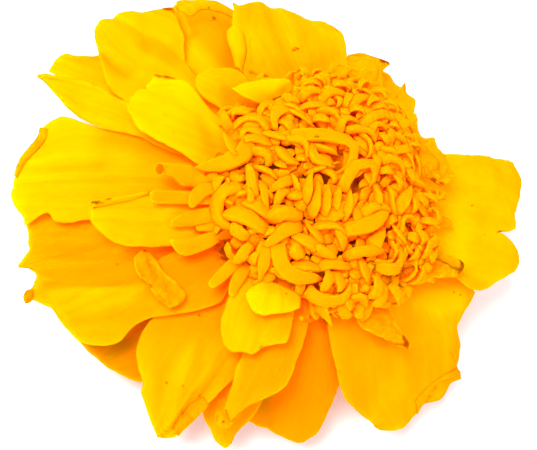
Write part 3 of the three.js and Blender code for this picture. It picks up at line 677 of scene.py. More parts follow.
INNER = {
    "inner_petal_01": dict(
        tip=(160, 25, 3.8), layer=3, root=-4, rise=8, drop=-8, left=[3.2, 5.2, 5.4, 3.8],
        right=[3, 4, 4.2, 2.8], tint=0.9, camber=0.5, folds=[(-0.35, 0.25, 0.2)],
        outline="""216,116 200,97 189,84 178,78 / 166,76 160,72 154,72 153,78 146,84 147,89 135,91 127,101
            125,113 / 192,163 173,150 151,138 135,130""",
        creases="147,88 157,84 175,84 -.2 3; 150,100 185,135 .15 9; 172,95 200,128 -.12 6",
        light_and_shade="196,120 203,135 207,150 -.3 6; 129,98 127,112 130,126 -.12 3",
        rot_and_shade_marks="154,73 160,76 168,77 180,79 .65 2.4; 172,135 .4 1.6; 163,118 .35 1.6"),
    "inner_petal_02": dict(
        tip=(-172, 28.2, 1.5), layer=3, root=6, rise=4, drop=-16, left=[2.6, 3.6, 3.8, 2.4],
        right=[1.6, 2, 2.4, 1.8], tint=0.72, camber=0.6,
        outline="""146,194 130,197 108,201 / 93,202 89,206 88,216 90,226 97,232 / 173,247 135,248 116,244
            104,237""",
        flaps="91,204 108,201 130,197 147,194 / 93,211 108,208 130,203 147,198 .3 .1 0",
        creases="95,205 120,199 145,195 .25 4; 110,222 160,226 .15 8",
        light_and_shade="142,205 152,225 150,242 -.15 9; 90,215 92,228 -.12 3",
        # The two wide brown lines nearest the disc, from 200,230 and from 203,203, are painted shade in the
        # dark gaps there; the others are brown rims
        rot_and_shade_marks="""200,230 214,228 226,232 .6 9; 203,203 214,206 .4 5; 89,205 97,206 105,203 109,201 .8 2.6;
            88,207 88,226 .4 2; 112,199 126,196 140,194 .35 1.6"""),
    "inner_petal_03": dict(
        tip=(-117, 22, 2.6), layer=3, rise=6, drop=-20, left=[3.2, 4.2, 4.6, 2.8],
        right=[3.2, 4.2, 4.6, 3.6], tint=0.7, camber=0.4,
        outline="""230,293 222,310 220,330 / 223,345 230,353 243,353 252,356 262,348 272,346 285,344 /
            293,310 290,335""",
        creases="240,315 238,345 .25 7; 258,320 256,348 -.2 6; 275,318 276,342 .15 6",
        light_and_shade="240,335 .12 12; 256,322 286,326 -.2 9", rot_and_shade_marks="261,348 .55 3.5; 222,350 229,354 .35 2"),
    "inner_petal_04": dict(
        tip=(139, 20, 3), layer=2, root=-9, rise=8, drop=-5, left=[1.6, 2.2, 2.2, 1.4],
        right=[2.2, 3, 3, 1.8], tint=0.72, camber=0.7,
        outline="240,70 226,67 / 213,68 200,73 193,78 194,88 / 219,112 205,102",
        creases="205,84 225,78 245,80 .2 7",
        light_and_shade="203,98 215,110 -.25 8; 222,94 226,108 -.55 6; 233,94 242,106 -.5 7",
        rot_and_shade_marks="190,80 193,78 .9 2; 193,84 198,95 .25 2"),
}

LOOSE = {
    "folded_petal": dict(
        start=(-122, 14.2, 5.4), tip=(-118.5, 18.6, 5.2), rise=8, drop=-20, left=[1.8, 2.2, 2.6, 2.2],
        right=[2.4, 2.8, 2.8, 2.2], tint=0.95, camber=0.5,
        outline="""262,281 250,288 242,295 245,300 / 249,309 257,316 266,317 278,314 291,313 300,308 /
            296,283 301,295""",
        creases="250,296 275,290 292,292 .25 8", light_and_shade="290,300 298,296 -.12 6",
        rot_and_shade_marks="299,304 302,306 .4 2"),
    "strap_petal": dict(
        start=(115, 11.9, 7), tip=(117, 15, 8), rise=20, drop=-25, left=[2.8, 3.4, 3.8, 3.4],
        right=[2.4, 3, 3.6, 3.4], tint=0.82, camber=0.35, ruffle=0.1,
        outline="""287,99 292,97 294,91 / 292,84 288,80 279,78 262,79 250,81 241,84 234,87 231,89 / 264,104
            256,103 244,98 235,92""",
        light_and_shade="240,88 262,86 284,88 .15 6; 231,94 240,102 250,105 -.3 4", rot_and_shade_marks="255,88 .4 1.6"),
}

WILTED = {
    "wilted_petal_01": dict(
        crinkle=0.12, start=(-160, 23.4, 1.7), tip=(-144, 22.1, 2.0), rise=5, drop=-5, base=0.9, camber=0.0,
        ruffle=0.12, left=[1, 1.1, 1.2, 1], right=[1, 1.1, 1.2, 1], tint=0.35,
        outline="""134,259 136,271 145,283 154,295 163,303 / 172,308 178,305 183,302 187,297 185,291 /
            152,254 158,263 164,270 170,277 177,284""",
        creases="151,258 161,271 175,283 .12 2; 144,264 152,279 165,294 .12 4",
        light_and_shade="154,261 164,272 176,283 181,293 .35 2.5; 145,268 155,284 165,296 -.1 5",
        rot_and_shade_marks="""143,251 150,250 .9 2.5; 150,286 .4 3; 170,303 .35 3; 137,264 143,277 152,290 164,301 .5 2;
            141,257 152,274 163,289 178,300 .26 7"""),
    "wilted_petal_02": dict(
        crinkle=0.15, start=(-68, 13.4, 3.4), tip=(-59, 19.8, 1.6), rise=0, drop=-10,
        left=[1.8, 1.7, 1.3, 0.7], right=[1.8, 1.7, 1.3, 0.7], tint=0.5,
        outline="""350,314 358,324 370,333 382,339 / 393,343 400,348 409,351 411,347 408,341 / 383,300
            391,315 400,327""",
        creases="383,303 392,317 402,331 .2 3",
        rot_and_shade_marks="383,302 391,315 400,328 404,334 .38 1.6; 403,338 407,349 .9 3; 394,344 402,346 .6 2.5"),
    "wilted_petal_03": dict(
        crinkle=0.15, start=(-25, 12.8, 4.2), tip=(-22, 19.4, 3.4), rise=0, drop=-10,
        left=[1.7, 1.5, 1.1, 0.6], right=[1.7, 1.5, 1.1, 0.6], tint=0.5,
        outline="""408,270 425,276 440,279 / 455,278 461,275 464,271 463,265 / 429,249 440,254 452,259
            459,262""",
        flaps="430,250 440,255 452,260 460,264 / 429,257 440,262 451,268 458,272 .3 .1 0",
        creases="430,253 445,259 458,265 .3 3", light_and_shade="430,258 450,266 -.1 5",
        rot_and_shade_marks="428,248 445,256 458,261 .5 2; 457,261 462,268 460,274 1.5 3; 407,266 412,265 417,269 1 3"),
    "wilted_petal_04": dict(
        crinkle=0.15, start=(26, 14, 6.4), tip=(9, 16.6, 6), rise=0, drop=-10, left=[0.9, 1.1, 1, 0.6],
        right=[0.9, 1.1, 1, 0.6], tint=0.45,
        outline="""417,150 421,165 425,177 432,184 / 437,187 442,187 447,183 451,174 / 424,139 432,137
            438,149 446,155 450,165""",
        flaps="425,178 432,185 439,188 446,184 451,174 / 428,171 434,177 439,180 444,176 446,168 .4 .2 0",
        creases="424,170 428,180 434,185 441,188 446,185 449,177 .35 2.5",
        rot_and_shade_marks="""424,169 427,179 433,184 440,187 446,184 449,177 .75 1.8; 444,156 447,158 .7 1.8;
            431,155 436,163 439,170 .4 1.8"""),
}

# Materials
PETAL_GLOW = {"Roughness": 0.5, "Subsurface Weight": 0.8, "Subsurface Radius": (1.0, 0.75, 0.05),
              "Subsurface Scale": 1.2 * MM, "Specular IOR Level": 0.0}
# Petal colours by tone; the tone carries painted light and shade as well as the petal's own colour
PETAL_TONES = {0.0: (0.9, 0.19, 0.0), 0.35: (0.96, 0.222, 0.0), 0.6: (1.0, 0.265, 0.0), 0.8: (1.0, 0.31, 0.0),
               1.0: (1.0, 0.36, 0.0)}
# Floret colours by how high a place stands among the florets: the low stops are painted shade for the deep
# gaps between them
FLORET_TONES = {0.0: (0.42, 0.12, 0.0), 0.15: (0.85, 0.22, 0.0), 0.38: (0.97, 0.28, 0.0),
                0.65: (0.99, 0.22, 0.0), 1.0: (1.0, 0.235, 0.0)}
# Painted shade: a dark ochre laid on petals that lie in shade
SHADE_OCHRE = (0.35, 0.14, 0.0)
WORN_RIM = (0.62, 0.13, 0.0)
SPECK = (0.2, 0.05, 0.0)
WITHERED = (0.7, 0.16, 0.0)
# Browns for rot, also used as painted shade in dark gaps next to the disc
RUST_AND_SHADE, ROT_AND_SHADE = (0.6, 0.12, 0.0), (0.15, 0.03, 0.0)
# Brown of withered floret tips; also painted shade inside an open floret's end and on a lobe in a shaded gap
BROWN_TIP_AND_SHADE = (0.22, 0.06, 0.0)
GLAND, DRY_TOOTH = (0.05, 0.1, 0.01), (0.42, 0.34, 0.05)
PITH = (0.55, 0.6, 0.28), (0.75, 0.76, 0.48)
PAPER = (0.95, 0.95, 0.945), (0.96, 0.96, 0.957)


def add(tree, kind, inputs=None, **props):
    """A shader node with its inputs linked to sockets or set to constants. Colours come without alpha."""
    made = tree.nodes.new(kind)
    for key, value in props.items():
        setattr(made, key, value)
    for key, value in (inputs or {}).items():
        if isinstance(value, bpy.types.NodeSocket):
            tree.links.new(value, made.inputs[key])
        elif isinstance(value, tuple):
            made.inputs[key].default_value = (*value, 1)
        else:
            made.inputs[key].default_value = value
    return made


def read(tree, *names):
    return [add(tree, "ShaderNodeAttribute", attribute_name=name).outputs["Fac"] for name in names]


def object_place(tree):
    return add(tree, "ShaderNodeTexCoord").outputs["Object"]


def maths(operation, a, b):
    return add(a.id_data, "ShaderNodeMath", {0: a, 1: b}, operation=operation).outputs[0]


def times(a, b):
    return maths("MULTIPLY", a, b)


def plus(a, b):
    return maths("ADD", a, b)


def minus(a, b):
    return maths("SUBTRACT", a, b)


def between(value, low, high, to_low=0.0, to_high=1.0):
    inputs = {0: value, 1: low, 2: high, 3: to_low, 4: to_high}
    return add(value.id_data, "ShaderNodeMapRange", inputs, interpolation_type="SMOOTHSTEP").outputs[0]


def mixed(share, a, b):
    return add(share.id_data, "ShaderNodeMix", {0: share, 6: a, 7: b}, data_type="RGBA").outputs[2]


def ramp(value, stops):
    made = add(value.id_data, "ShaderNodeValToRGB", {0: value})
    elements = made.color_ramp.elements
    while len(elements) < len(stops):
        elements.new(0.5)
    for element, (position, colour) in zip(elements, stops.items()):
        element.position = position
        element.color = (*colour, 1)
    return made.outputs[0]


def noise(vector, scale, detail=2.0, rough=0.5):
    inputs = {"Vector": vector, "Scale": scale, "Detail": detail, "Roughness": rough}
    return add(vector.id_data, "ShaderNodeTexNoise", inputs).outputs[0]


def cells(vector, scale):
    return add(vector.id_data, "ShaderNodeTexVoronoi", {"Vector": vector, "Scale": scale}).outputs["Distance"]


def combined(x, y, z):
    return add(x.id_data, "ShaderNodeCombineXYZ", {0: x, 1: y, 2: z}).outputs[0]


def new_material(name, sockets):
    made = bpy.data.materials.new(name)
    made.use_nodes = True
    for key, value in sockets.items():
        made.node_tree.nodes["Principled BSDF"].inputs[key].default_value = value
    return made, made.node_tree


def painted(made, colour, skin=None, strength=0.0, depth=0.0):
    """The material with its colour and, if it has one, the fine relief of its skin."""
    tree, inputs = made.node_tree, made.node_tree.nodes["Principled BSDF"].inputs
    tree.links.new(colour, inputs["Base Color"])
    if skin:
        bump = add(tree, "ShaderNodeBump", {"Height": skin, "Strength": strength, "Distance": depth * MM})
        tree.links.new(bump.outputs[0], inputs["Normal"])
    return made


def petal_material(name, withered=0.0):
    made, tree = new_material(name, PETAL_GLOW)
    along, side, edge, tint, decay_and_shade, kind, under, shade_share = read(
        tree, "along", "across", "edge", "tint", "decay_and_shade", "kind", "under", "painted_shade")
    place = object_place(tree)
    veins = noise(combined(times(side, 26.0), times(along, 1.6), times(kind, 31.0)), 1.0, 3.0, 0.6)
    bands = noise(combined(times(side, 3.5), along, times(kind, 57.0)), 1.0)
    blotch = noise(place, 160.0, 3.0)
    # The tint carries painted light and shade as well as the petal's own tone
    tone = plus(tint, between(along, 0.1, 0.6, -0.18, 0.0))
    for pattern, amount in ((bands, 0.22), (blotch, 0.16), (veins, 0.09)):
        tone = plus(tone, between(pattern, 0.25, 0.75, -amount / 2, amount / 2))
    colour = ramp(minus(tone, times(under, 0.15)), PETAL_TONES)
    # Painted shade: petals in shade are darkened towards ochre
    colour = mixed(times(shade_share, between(bands, 0.3, 0.65, 0.8, 1.0)), colour, SHADE_OCHRE)
    ragged = noise(place, 900.0, 3.0, 0.6)
    near_rim = between(plus(edge, times(ragged, 0.4)), 0.2, 0.4, 1.0, 0.0)
    patchy = between(noise(place, 210.0), 0.45, 0.62)
    colour = mixed(times(times(near_rim, patchy), 0.7), colour, WORN_RIM)
    rare = between(noise(place, 95.0, 1.0), 0.56, 0.64)
    dots = times(between(cells(place, 420.0), 0.05, 0.11, 1.0, 0.0), rare)
    colour = mixed(times(dots, 0.7), colour, SPECK)
    if withered:
        colour = mixed(between(noise(place, 700.0, 4.0, 0.7), 0.5, 0.62, 0.0, withered), colour, WITHERED)
    # Brown marks: rot, and near the disc painted shade in dark gaps
    rot_and_shade_share = times(decay_and_shade, between(ragged, 0.32, 0.62, 0.25, 1.25))
    colour = mixed(between(rot_and_shade_share, 0.15, 0.5, 0.0, 0.75), colour, RUST_AND_SHADE)
    colour = mixed(between(rot_and_shade_share, 0.5, 0.85, 0.0, 0.9), colour, ROT_AND_SHADE)
    return painted(made, colour, plus(times(veins, 0.8), times(noise(place, 2600.0), 0.25)), 0.35, 0.12)


def floret_material():
    made, tree = new_material("floret_skin", {**PETAL_GLOW, "Roughness": 0.42})
    along, high, tint = read(tree, "along", "high", "tint")
    place = object_place(tree)
    # Painted shade and light: the colour is deeper where a place lies low among the florets, lighter where it
    # stands high or on the sunlit side
    rise = plus(high, times(minus(tint, 0.5), 0.35))
    rise = plus(rise, times(minus(noise(place, 420.0, 3.0), 0.5), 0.3))
    # Brown at the tips: withered lobes, and painted shade inside the open floret's end and on a lobe in a gap
    # by the disc
    brown = times(between(along, 0.9, 1.0), between(tint, 0.8, 0.95))
    colour = mixed(times(brown, 0.75), ramp(rise, FLORET_TONES), BROWN_TIP_AND_SHADE)
    return painted(made, colour, noise(place, 1500.0, 3.0, 0.6), 0.3, 0.1)


def green_material(name, light, dark):
    made, tree = new_material(name, {"Roughness": 0.5, "Subsurface Weight": 0.15,
                                     "Subsurface Radius": (0.5, 1.0, 0.2), "Subsurface Scale": 0.5 * MM})
    rib, high, cut = read(tree, "rib", "high", "cut")
    place = object_place(tree)
    streaks = noise(combined(times(rib, 40.0), times(high, 2.0), 0.0), 1.0, 3.0)
    colour = mixed(between(streaks, 0.35, 0.65), light, dark)
    colour = mixed(between(cells(place, 900.0), 0.1, 0.3, 0.35, 0.0), colour, GLAND)
    colour = mixed(between(high, 0.9, 1.0, 0.0, 0.45), colour, DRY_TOOTH)
    colour = mixed(cut, colour, mixed(noise(place, 1800.0, 3.0), *PITH))
    return painted(made, colour, plus(streaks, noise(place, 2200.0)), 0.4, 0.12)


# The disc. Its florets stand with their feet on a dome: FOOT_RADIUS is its radius, FOOT_HEIGHT its height and
# FOOT_BASE how far it is over the rim. They stand GOLDEN degrees apart round it, out to LAST_POLE degrees
# from its top, and none within EYE_REACH of the axis. Three azimuths: FINEST is where the florets are
# smallest, LONGEST where those of the border are longest, and SUNNY where most light comes in between them.
FOOT_RADIUS, FOOT_HEIGHT, FOOT_BASE = 12.8, 3.6, 4.9
DOME = AXIS + [0, 0, RIM + FOOT_BASE]
DOME_SIZE = np.array([FOOT_RADIUS, FOOT_RADIUS, FOOT_HEIGHT])
FLORETS, SKIRT = 98, 54
GOLDEN, LAST_POLE = 137.508, 96
EYE_REACH = 2.6
FINEST, LONGEST, SUNNY = 50.0, 5.0, 35.0

# The least and the most of each draw. A lobe's spine turns over by its turn in degrees and leans to a side.
FLORET_HEIGHT, TUBE_RADIUS = (0.3, 1.5), (0.45, 0.62)
LOBE_REACH, LOBE_RISE, LOBE_WIDTH = (1.9, 3.0), (0.7, 1.15), (0.58, 0.74)
LOBE_TURN, LOBE_LEAN = (150, 225), (-1.2, 1.2)
SKIRT_REACH, SKIRT_RISE, SKIRT_WIDTH = (2.6, 4.2), (1.0, 1.8), (0.65, 0.9)
SKIRT_TURN, SKIRT_LEAN = (100, 170), (-1.5, 1.5)

# How finely tubes and lobes are made, and a lobe's form: a round tip takes up BLUNT_END of its length and a
# sharp one SPEAR_END
TUBE_SIDES, CORE_SIDES = 10, 48
LOBE_NODES, LOBE_RINGS, SPINE_POINTS = 8, 12, 24
BLUNT_END, SPEAR_END = 0.45, 0.5
LOBE_BUMPS, BUMP_LENGTH = 0.13, 0.9

# How lobes make room for each other. One that is mostly nearer than CROWDED to lobes that are held in place
# sinks by SUNK. GIRTH is the share of its width that a lobe keeps free. In a round, a node is pushed by the
# share PUSH of an overlap, but not over LONGEST_STEP, and then goes back a share of the way.
CROWDED, SUNK = 0.95, 0.8
GIRTH, GIRTH_AT_TIP, GIRTH_AT_ROOT = 0.82, 0.55, 0.5
PUSH, LONGEST_STEP = 0.28, 0.25
TO_REST, TO_OWN_BEND = 0.05, 0.12

# How many pixels wide the photo shows a millimetre of half width, of a lobe and of a floret on the petals
PIXELS_PER_WIDTH, PIXELS_PER_LYING_WIDTH = 15.5, 17

# Pixels (left, top, right, bottom) where a petal stands over the disc's border, clear of the florets' lobes
CLEAR = [(229, 78, 292, 101), (424, 138, 453, 189), (246, 284, 300, 313), (204, 128, 231, 160),
         (212, 240, 231, 264)]

# Lobes of the disc that the photo shows clearly: the pixels of the spine from root to tip, the width in
# pixels, how pointed the tip is, how flat the lobe is, and how high its middle stands over the florets' feet
SEEN_LOBES = """
    250,144 238,157 216,165 194,168 17 .5 .6 2.6; 240,153 231,144 223,131 15 1 .5 2.9;
    268,130 262,119 249,117 238,123 233,131 9.5 .3 .8 2.4; 265,136 253,129 243,130 237,138 9 .3 .8 2;
    268,142 252,137 243,142 239,150 10 .4 .8 2.2; 248,110 234,110 224,117 219,126 11 .2 .8 1.9;
    280,106 267,103 260,111 257,121 9 .4 .8 2; 290,108 278,110 274,120 277,133 13 .7 .6 2.4;
    304,115 293,105 283,104 274,107 8.5 .3 .8 2.1; 326,106 313,104 303,107 296,113 8.5 .4 .8 2.1;
    294,112 304,117 317,129 14 1 .45 2.5; 264,132 279,136 293,141 304,150 9 .5 .7 2.3;
    286,141 300,139 308,148 306,161 10 .3 .9 2.6; 256,150 266,152 271,159 265,168 14 .2 .9 2.3;
    280,150 286,158 300,164 12 .3 .9 2.2; 256,192 253,177 248,164 14 0 .95 2.6;
    258,167 270,171 279,181 10 .5 .8 2.1; 299,192 296,182 290,173 9.5 .6 .8 2.3;
    305,200 308,186 313,167 13 .9 .6 2.9; 292,179 280,184 267,193 10 .4 .85 2.1;
    286,138 302,134 325,135 346,139 357,151 352,164 336,173 12 .3 .9 3;
    330,163 318,160 312,151 316,142 12 .2 .9 2.4; 318,148 327,149 339,156 12 1 .5 2.7;
    308,172 324,166 342,161 8 .9 .8 1.9; 342,190 351,172 363,162 373,164 376,176 368,189 11 .3 .9 2.9;
    330,182 342,175 356,166 6 .6 .9 1.2; 362,127 371,117 384,115 396,123 9.5 .4 .8 2.5;
    339,131 342,120 352,118 360,127 9 .4 .8 2.4; 370,133 373,125 382,124 387,134 8 .3 .9 2.2;
    346,131 361,129 372,133 376,145 8.5 .5 .8 2.3; 362,134 371,142 372,152 364,160 7.5 .4 .9 2.3;
    380,149 391,150 398,160 8 .7 .7 2.4; 382,162 392,158 402,164 404,178 9 .6 .7 2.3;
    402,150 412,158 414,174 9 .8 .6 2; 388,134 400,136 408,148 9 .6 .7 2.2;
    320,112 331,111 338,118 340,128 10 .7 .6 2.3; 321,100 330,92 341,92 348,101 9 .3 .85 2.2;
    350,108 358,99 369,98 376,107 9 .4 .8 2.2; 302,98 309,90 318,90 324,98 9 .3 .85 2.2;
    374,105 384,99 394,103 399,113 9 .4 .8 2; 243,188 229,187 219,197 215,212 222,224 238,229 13 .1 .95 2.4;
    229,213 242,215 256,223 269,234 15 0 .95 3; 252,205 251,192 247,181 10 .3 .9 2.4;
    261,183 265,197 270,216 9.5 .9 .7 2.4; 286,189 278,199 273,215 10 .8 .7 2.3;
    273,217 286,213 302,219 15 0 .95 3; 247,202 261,209 277,223 12 .4 .85 2.4;
    298,225 284,231 273,240 260,249 13 .6 .7 2.8; 266,244 264,261 259,283 14 .9 .6 2.6;
    277,243 280,262 298,277 323,279 14.5 0 .95 2.9; 299,249 296,254 292,258 15 0 1 3.1;
    322,249 306,241 289,232 13 .4 .85 2.7; 322,239 313,231 304,220 11 .9 .6 2.7;
    294,264 307,266 324,269 11 .3 .85 2.3; 227,245 231,256 241,262 249,255 7 .6 .8 2.4;
    311,213 317,200 318,178 12 1 .5 3.3; 322,213 327,200 328,182 12 1 .5 3.2;
    332,210 337,199 340,183 11 1 .5 2.9; 343,217 349,204 350,187 11 .9 .5 2.9;
    318,221 334,214 350,204 358,192 13 .4 .7 2.4; 314,227 331,224 344,230 347,242 11 .4 .8 2.5;
    344,231 362,227 378,219 389,209 14 .2 .85 3; 360,216 370,208 384,206 391,213 10 .3 .85 2.5;
    377,211 379,197 373,183 10 .5 .8 2.6; 394,211 392,197 387,184 10 .6 .7 2.4;
    397,209 405,198 412,185 14 1 .45 2.7; 402,234 403,220 411,217 416,230 8 .4 .8 2.2;
    370,247 378,239 385,227 15 .9 .5 2.6; 349,255 366,251 385,251 12 .1 .9 2.9;
    362,260 366,274 371,288 10 .9 .6 2.3; 338,224 343,238 344,252 13 .3 .85 2.4;
    314,248 326,252 336,260 14 .3 .85 2.6; 318,267 335,264 352,268 10 .2 .9 2.2;
    308,290 321,299 337,301 348,293 352,282 12.5 .4 .85 2.3; 350,301 361,297 366,308 12 .5 .6 1.8;
    316,303 324,313 332,326 12 1 .4 1.2; 392,243 397,252 391,262 10 .5 .7 2;
    405,240 398,232 391,222 10 .7 .7 2.1; 374,259 384,263 396,259 9 .5 .7 1.9;
    427,216 419,206 411,189 12 1 .4 1.6; 408,208 424,203 440,207 10 .9 .4 1;
    412,228 424,224 437,227 8 .8 .5 .9; 409,242 406,253 403,263 9 .7 .6 1.4;
    416,244 416,254 412,262 8 .6 .6 1; 403,244 409,250 413,258 10 .7 .7 1.2;
    418,243 411,248 406,255 8 .8 .7 1.5; 392,116 401,123 404,135 9 .7 .6 2;
    400,106 407,116 408,128 8 .8 .6 1.4; 406,138 412,149 411,164 9 .7 .6 1.5;
    413,150 420,164 419,180 9 .9 .5 1; 410,180 420,184 428,194 9 .9 .5 1.2;
    376,100 383,90 393,93 8 .5 .7 1.6; 364,94 371,83 381,85 8 .4 .8 1.7; 348,90 352,79 362,79 8 .5 .8 1.8;
    334,86 339,76 348,79 8 .4 .8 1.8; 317,86 324,77 333,80 8 .5 .8 1.8; 306,90 303,81 309,75 8 .5 .8 1.7;
    312,82 318,72 326,74 7.5 .6 .7 1.4; 342,77 350,68 358,72 7.5 .6 .7 1.3;
    360,80 368,70 376,76 7.5 .7 .6 1.2; 330,73 337,64 346,67 7.5 .7 .6 1"""

# Lobes brown from the middle to the tip: withered ones, and the last, a dark lobe set as painted shade in the
# shaded gap at the disc's border
BROWN_LOBES = """
    398,262 407,265 416,268 6 1 .6 2.5; 403,272 411,269 420,265 5 1 .6 2.2;
    397,268 402,274 400,280 5.5 1 .6 2.2; 246,170 239,172 233,170 6 1 .6 2.6;
    322,135 316,137 311,136 4 1 .6 3.4; 300,318 308,321 318,318 5 1 .5 .9;
    338,186 333,178 326,172 5 1 .6 1.5; 234,231 225,235 216,239 9 .5 .5 1.2"""

# Florets that lie out over the petals: pixels of the spine, its height over the rim, widths in pixels along
# it, how flat and how bright it is and whether its end is open
LYING_FLORETS = [
    ("216,188 205,184 192,178 182,174 172,170 160,169", 5.8, (11, 12, 15, 23, 14, 12), 0.8, 1.0, True),
    ("224,200 196,198 168,197 151,197", 5.4, (8, 11, 13, 13), 0.25, 0.85, False),
    ("218,237 211,239 196,245 183,248 171,240", 4.7, (5, 10, 15, 15, 5), 0.2, 1.1, False),
    ("224,214 205,216 188,219 171,224", 5.0, (12, 16, 16, 7), 0.5, 0.85, False),
    ("214,186 203,190 195,198 191,207", 6.2, (10, 14, 14, 6), 0.5, 0.9, False),
    ("240,259 230,267 221,276 210,286", 4.5, (9, 12, 12, 8), 0.3, 1.15, False),
    ("247,264 240,275 235,285 231,296", 4.4, (9, 13, 12, 6), 0.3, 1.15, False),
    ("226,222 210,226 196,228", 4.8, (9, 12, 6), 0.4, 1.1, False),
]


def over_feet(pixel, lift):
    """The point seen at a pixel, lift over the dome on which the florets' feet are."""
    eye, ray = sight(pixel)
    start, way = (eye - DOME) / (DOME_SIZE + lift), ray / (DOME_SIZE + lift)
    a, b, c = way @ way, start @ way, start @ start - 1
    inside = b * b - a * c
    if inside > 0:
        return eye + ray * (-b - math.sqrt(inside)) / a
    return at_height(pixel, FOOT_BASE + 0.4 * lift)


def dome_normal(point):
    return unit((point - DOME) / DOME_SIZE**2)


def height_over_feet(points):
    """How far points of the disc are over the florets' feet."""
    share = np.linalg.norm((points - DOME) / DOME_SIZE, axis=-1)
    return (share - 1) * np.linalg.norm(points - DOME, axis=-1) / np.maximum(share, 1e-6)


def sunlit(points):
    """How much light reaches deep among the florets: more on the disc's far side."""
    way = np.array([math.cos(math.radians(SUNNY)), math.sin(math.radians(SUNNY)), 0])
    return 0.42 * smooth(-8.0, 8.0, (points - AXIS) @ way) - 0.2


def seen_lobe(pixels, width, point, flat, lift, draw, **looks):
    lifts = lift * np.sin(np.linspace(0.22, 0.8, len(pixels)) * np.pi)
    spine = [over_feet(pixels[0], -1.0)] + [over_feet(p, h) for p, h in zip(pixels, lifts)]
    spine = smooth_line(np.array(spine), SPINE_POINTS)
    return {"path": resampled(spine, LOBE_NODES), "width": width / PIXELS_PER_WIDTH, "point": point,
            "flat": flat, "up": dome_normal(spine[SPINE_POINTS // 2]), "held": True,
            "tint": draw.uniform(0.45, 0.9), **looks}


def lobe_path(root, outward, stand, reach, rise, turn, sideways):
    """A lobe's spine: up along stand, out and over in an arch, leaning sideways."""
    angle = np.linspace(0, math.radians(turn), LOBE_NODES)[:, None]
    across_it = np.cross(stand, outward)
    arch = root + outward * reach / 2 * (1 - np.cos(angle)) + stand * rise * np.sin(angle)
    return arch + across_it * sideways * (angle / math.pi) ** 2


def floret(number, draw):
    """A floret's tube (its two ends, radius and tint) and its lobes."""
    pole = math.radians(LAST_POLE * ((number + 0.6) / FLORETS) ** 0.78)
    azimuth = number * GOLDEN + draw.uniform(-6, 6)
    foot = placed(azimuth, FOOT_RADIUS * math.sin(pole), FOOT_BASE + FOOT_HEIGHT * math.cos(pole))
    if np.linalg.norm((foot - AXIS)[:2]) < EYE_REACH:
        return None, []
    stand = unit(dome_normal(foot) + 0.16 * np.array([draw.gauss(0, 1), draw.gauss(0, 1), 0]))
    mouth = foot + stand * draw.uniform(*FLORET_HEIGHT)
    side = unit(np.cross(stand, [0.3, 0.2, 1.0]))
    other = np.cross(stand, side)
    first = draw.uniform(0, 72)
    radius = draw.uniform(*TUBE_RADIUS)
    fine = 0.5 + 0.5 * math.cos(math.radians(azimuth - FINEST))
    tint = draw.uniform(0, 1)
    count = 5 if draw.random() < 0.75 else 4
    lobes = []
    for n in range(count):
        a = math.radians(first + n * 360 / count + draw.uniform(-10, 10))
        outward = side * math.cos(a) + other * math.sin(a)
        reach = draw.uniform(*LOBE_REACH) * (1 - 0.15 * fine)
        path = lobe_path(mouth + outward * radius * 0.9, outward, stand, reach, draw.uniform(*LOBE_RISE),
                         draw.uniform(*LOBE_TURN), draw.uniform(*LOBE_LEAN))
        lobes.append({"path": path, "width": draw.uniform(*LOBE_WIDTH) * (1 - 0.28 * fine),
                      "point": draw.uniform(0.35, 1.0), "flat": draw.uniform(0.6, 0.9), "up": stand,
                      "held": False, "tint": np.clip(tint + draw.uniform(-0.3, 0.3), 0, 1)})
    return (foot - stand * 2.2, mouth + stand * 0.3, radius, tint), lobes


def skirt_lobe(number, draw):
    """A lobe at the disc's border, out and down over the petals' claws."""
    azimuth = 360 * number / SKIRT + draw.uniform(-3, 3)
    low = number % 2
    out = placed(azimuth, 1, 0) - placed(azimuth, 0, 0)
    root = placed(azimuth, 10.6 + draw.uniform(0, 1), 4.6 - 1.4 * low)
    stand = unit(out * 0.8 + UP_Z * (0.6 - 0.4 * low))
    spread = 1 + 0.45 * max(0, math.cos(math.radians(azimuth - LONGEST)))
    path = lobe_path(root, out, stand, spread * draw.uniform(*SKIRT_REACH), draw.uniform(*SKIRT_RISE),
                     draw.uniform(*SKIRT_TURN), draw.uniform(*SKIRT_LEAN))
    far = smooth(0.2, 0.8, math.cos(math.radians(azimuth - FINEST)))
    return {"path": path, "width": draw.uniform(*SKIRT_WIDTH), "point": draw.uniform(0.3 + 0.5 * far, 1.0),
            "up": stand, "flat": draw.uniform(0.55, 0.9) - 0.25 * far, "held": False,
            "tint": draw.uniform(0, 0.8)}


def in_the_way(path):
    x, y = project(path[3:]).T
    return np.any([(x > left) & (x < right) & (y > top) & (y < bottom) for left, top, right, bottom in CLEAR])


def room_for(path, held):
    """Whether a floret's lobe keeps clear enough of the lobes that are held in place."""
    near = np.linalg.norm(path[2:, None] - held[None], axis=-1).min(1)
    return (near > CROWDED).mean() > 0.5


def disc_lobes(draw):
    """The tubes of the disc's florets, and all lobes: drawn ones and those that the photo shows."""
    florets = [floret(n, draw) for n in range(FLORETS)]
    lobes = [lobe for _, of_one in florets for lobe in of_one]
    lobes += [skirt_lobe(n, draw) for n in range(SKIRT)]
    lobes = [lobe for lobe in lobes if not in_the_way(lobe["path"])]
    seen = [seen_lobe(*kind, draw) for kind in table(SEEN_LOBES)]
    # Brown lobes: withered ones, and one dark lobe as painted shade in a gap by the disc
    seen += [seen_lobe(*kind, draw, withered=0.6) for kind in table(BROWN_LOBES)]
    held = np.concatenate([lobe["path"] for lobe in seen])
    for lobe in lobes:
        if not room_for(lobe["path"], held):
            lobe["path"] = lobe["path"] - lobe["up"] * SUNK
    return [tube for tube, _ in florets if tube], lobes + seen


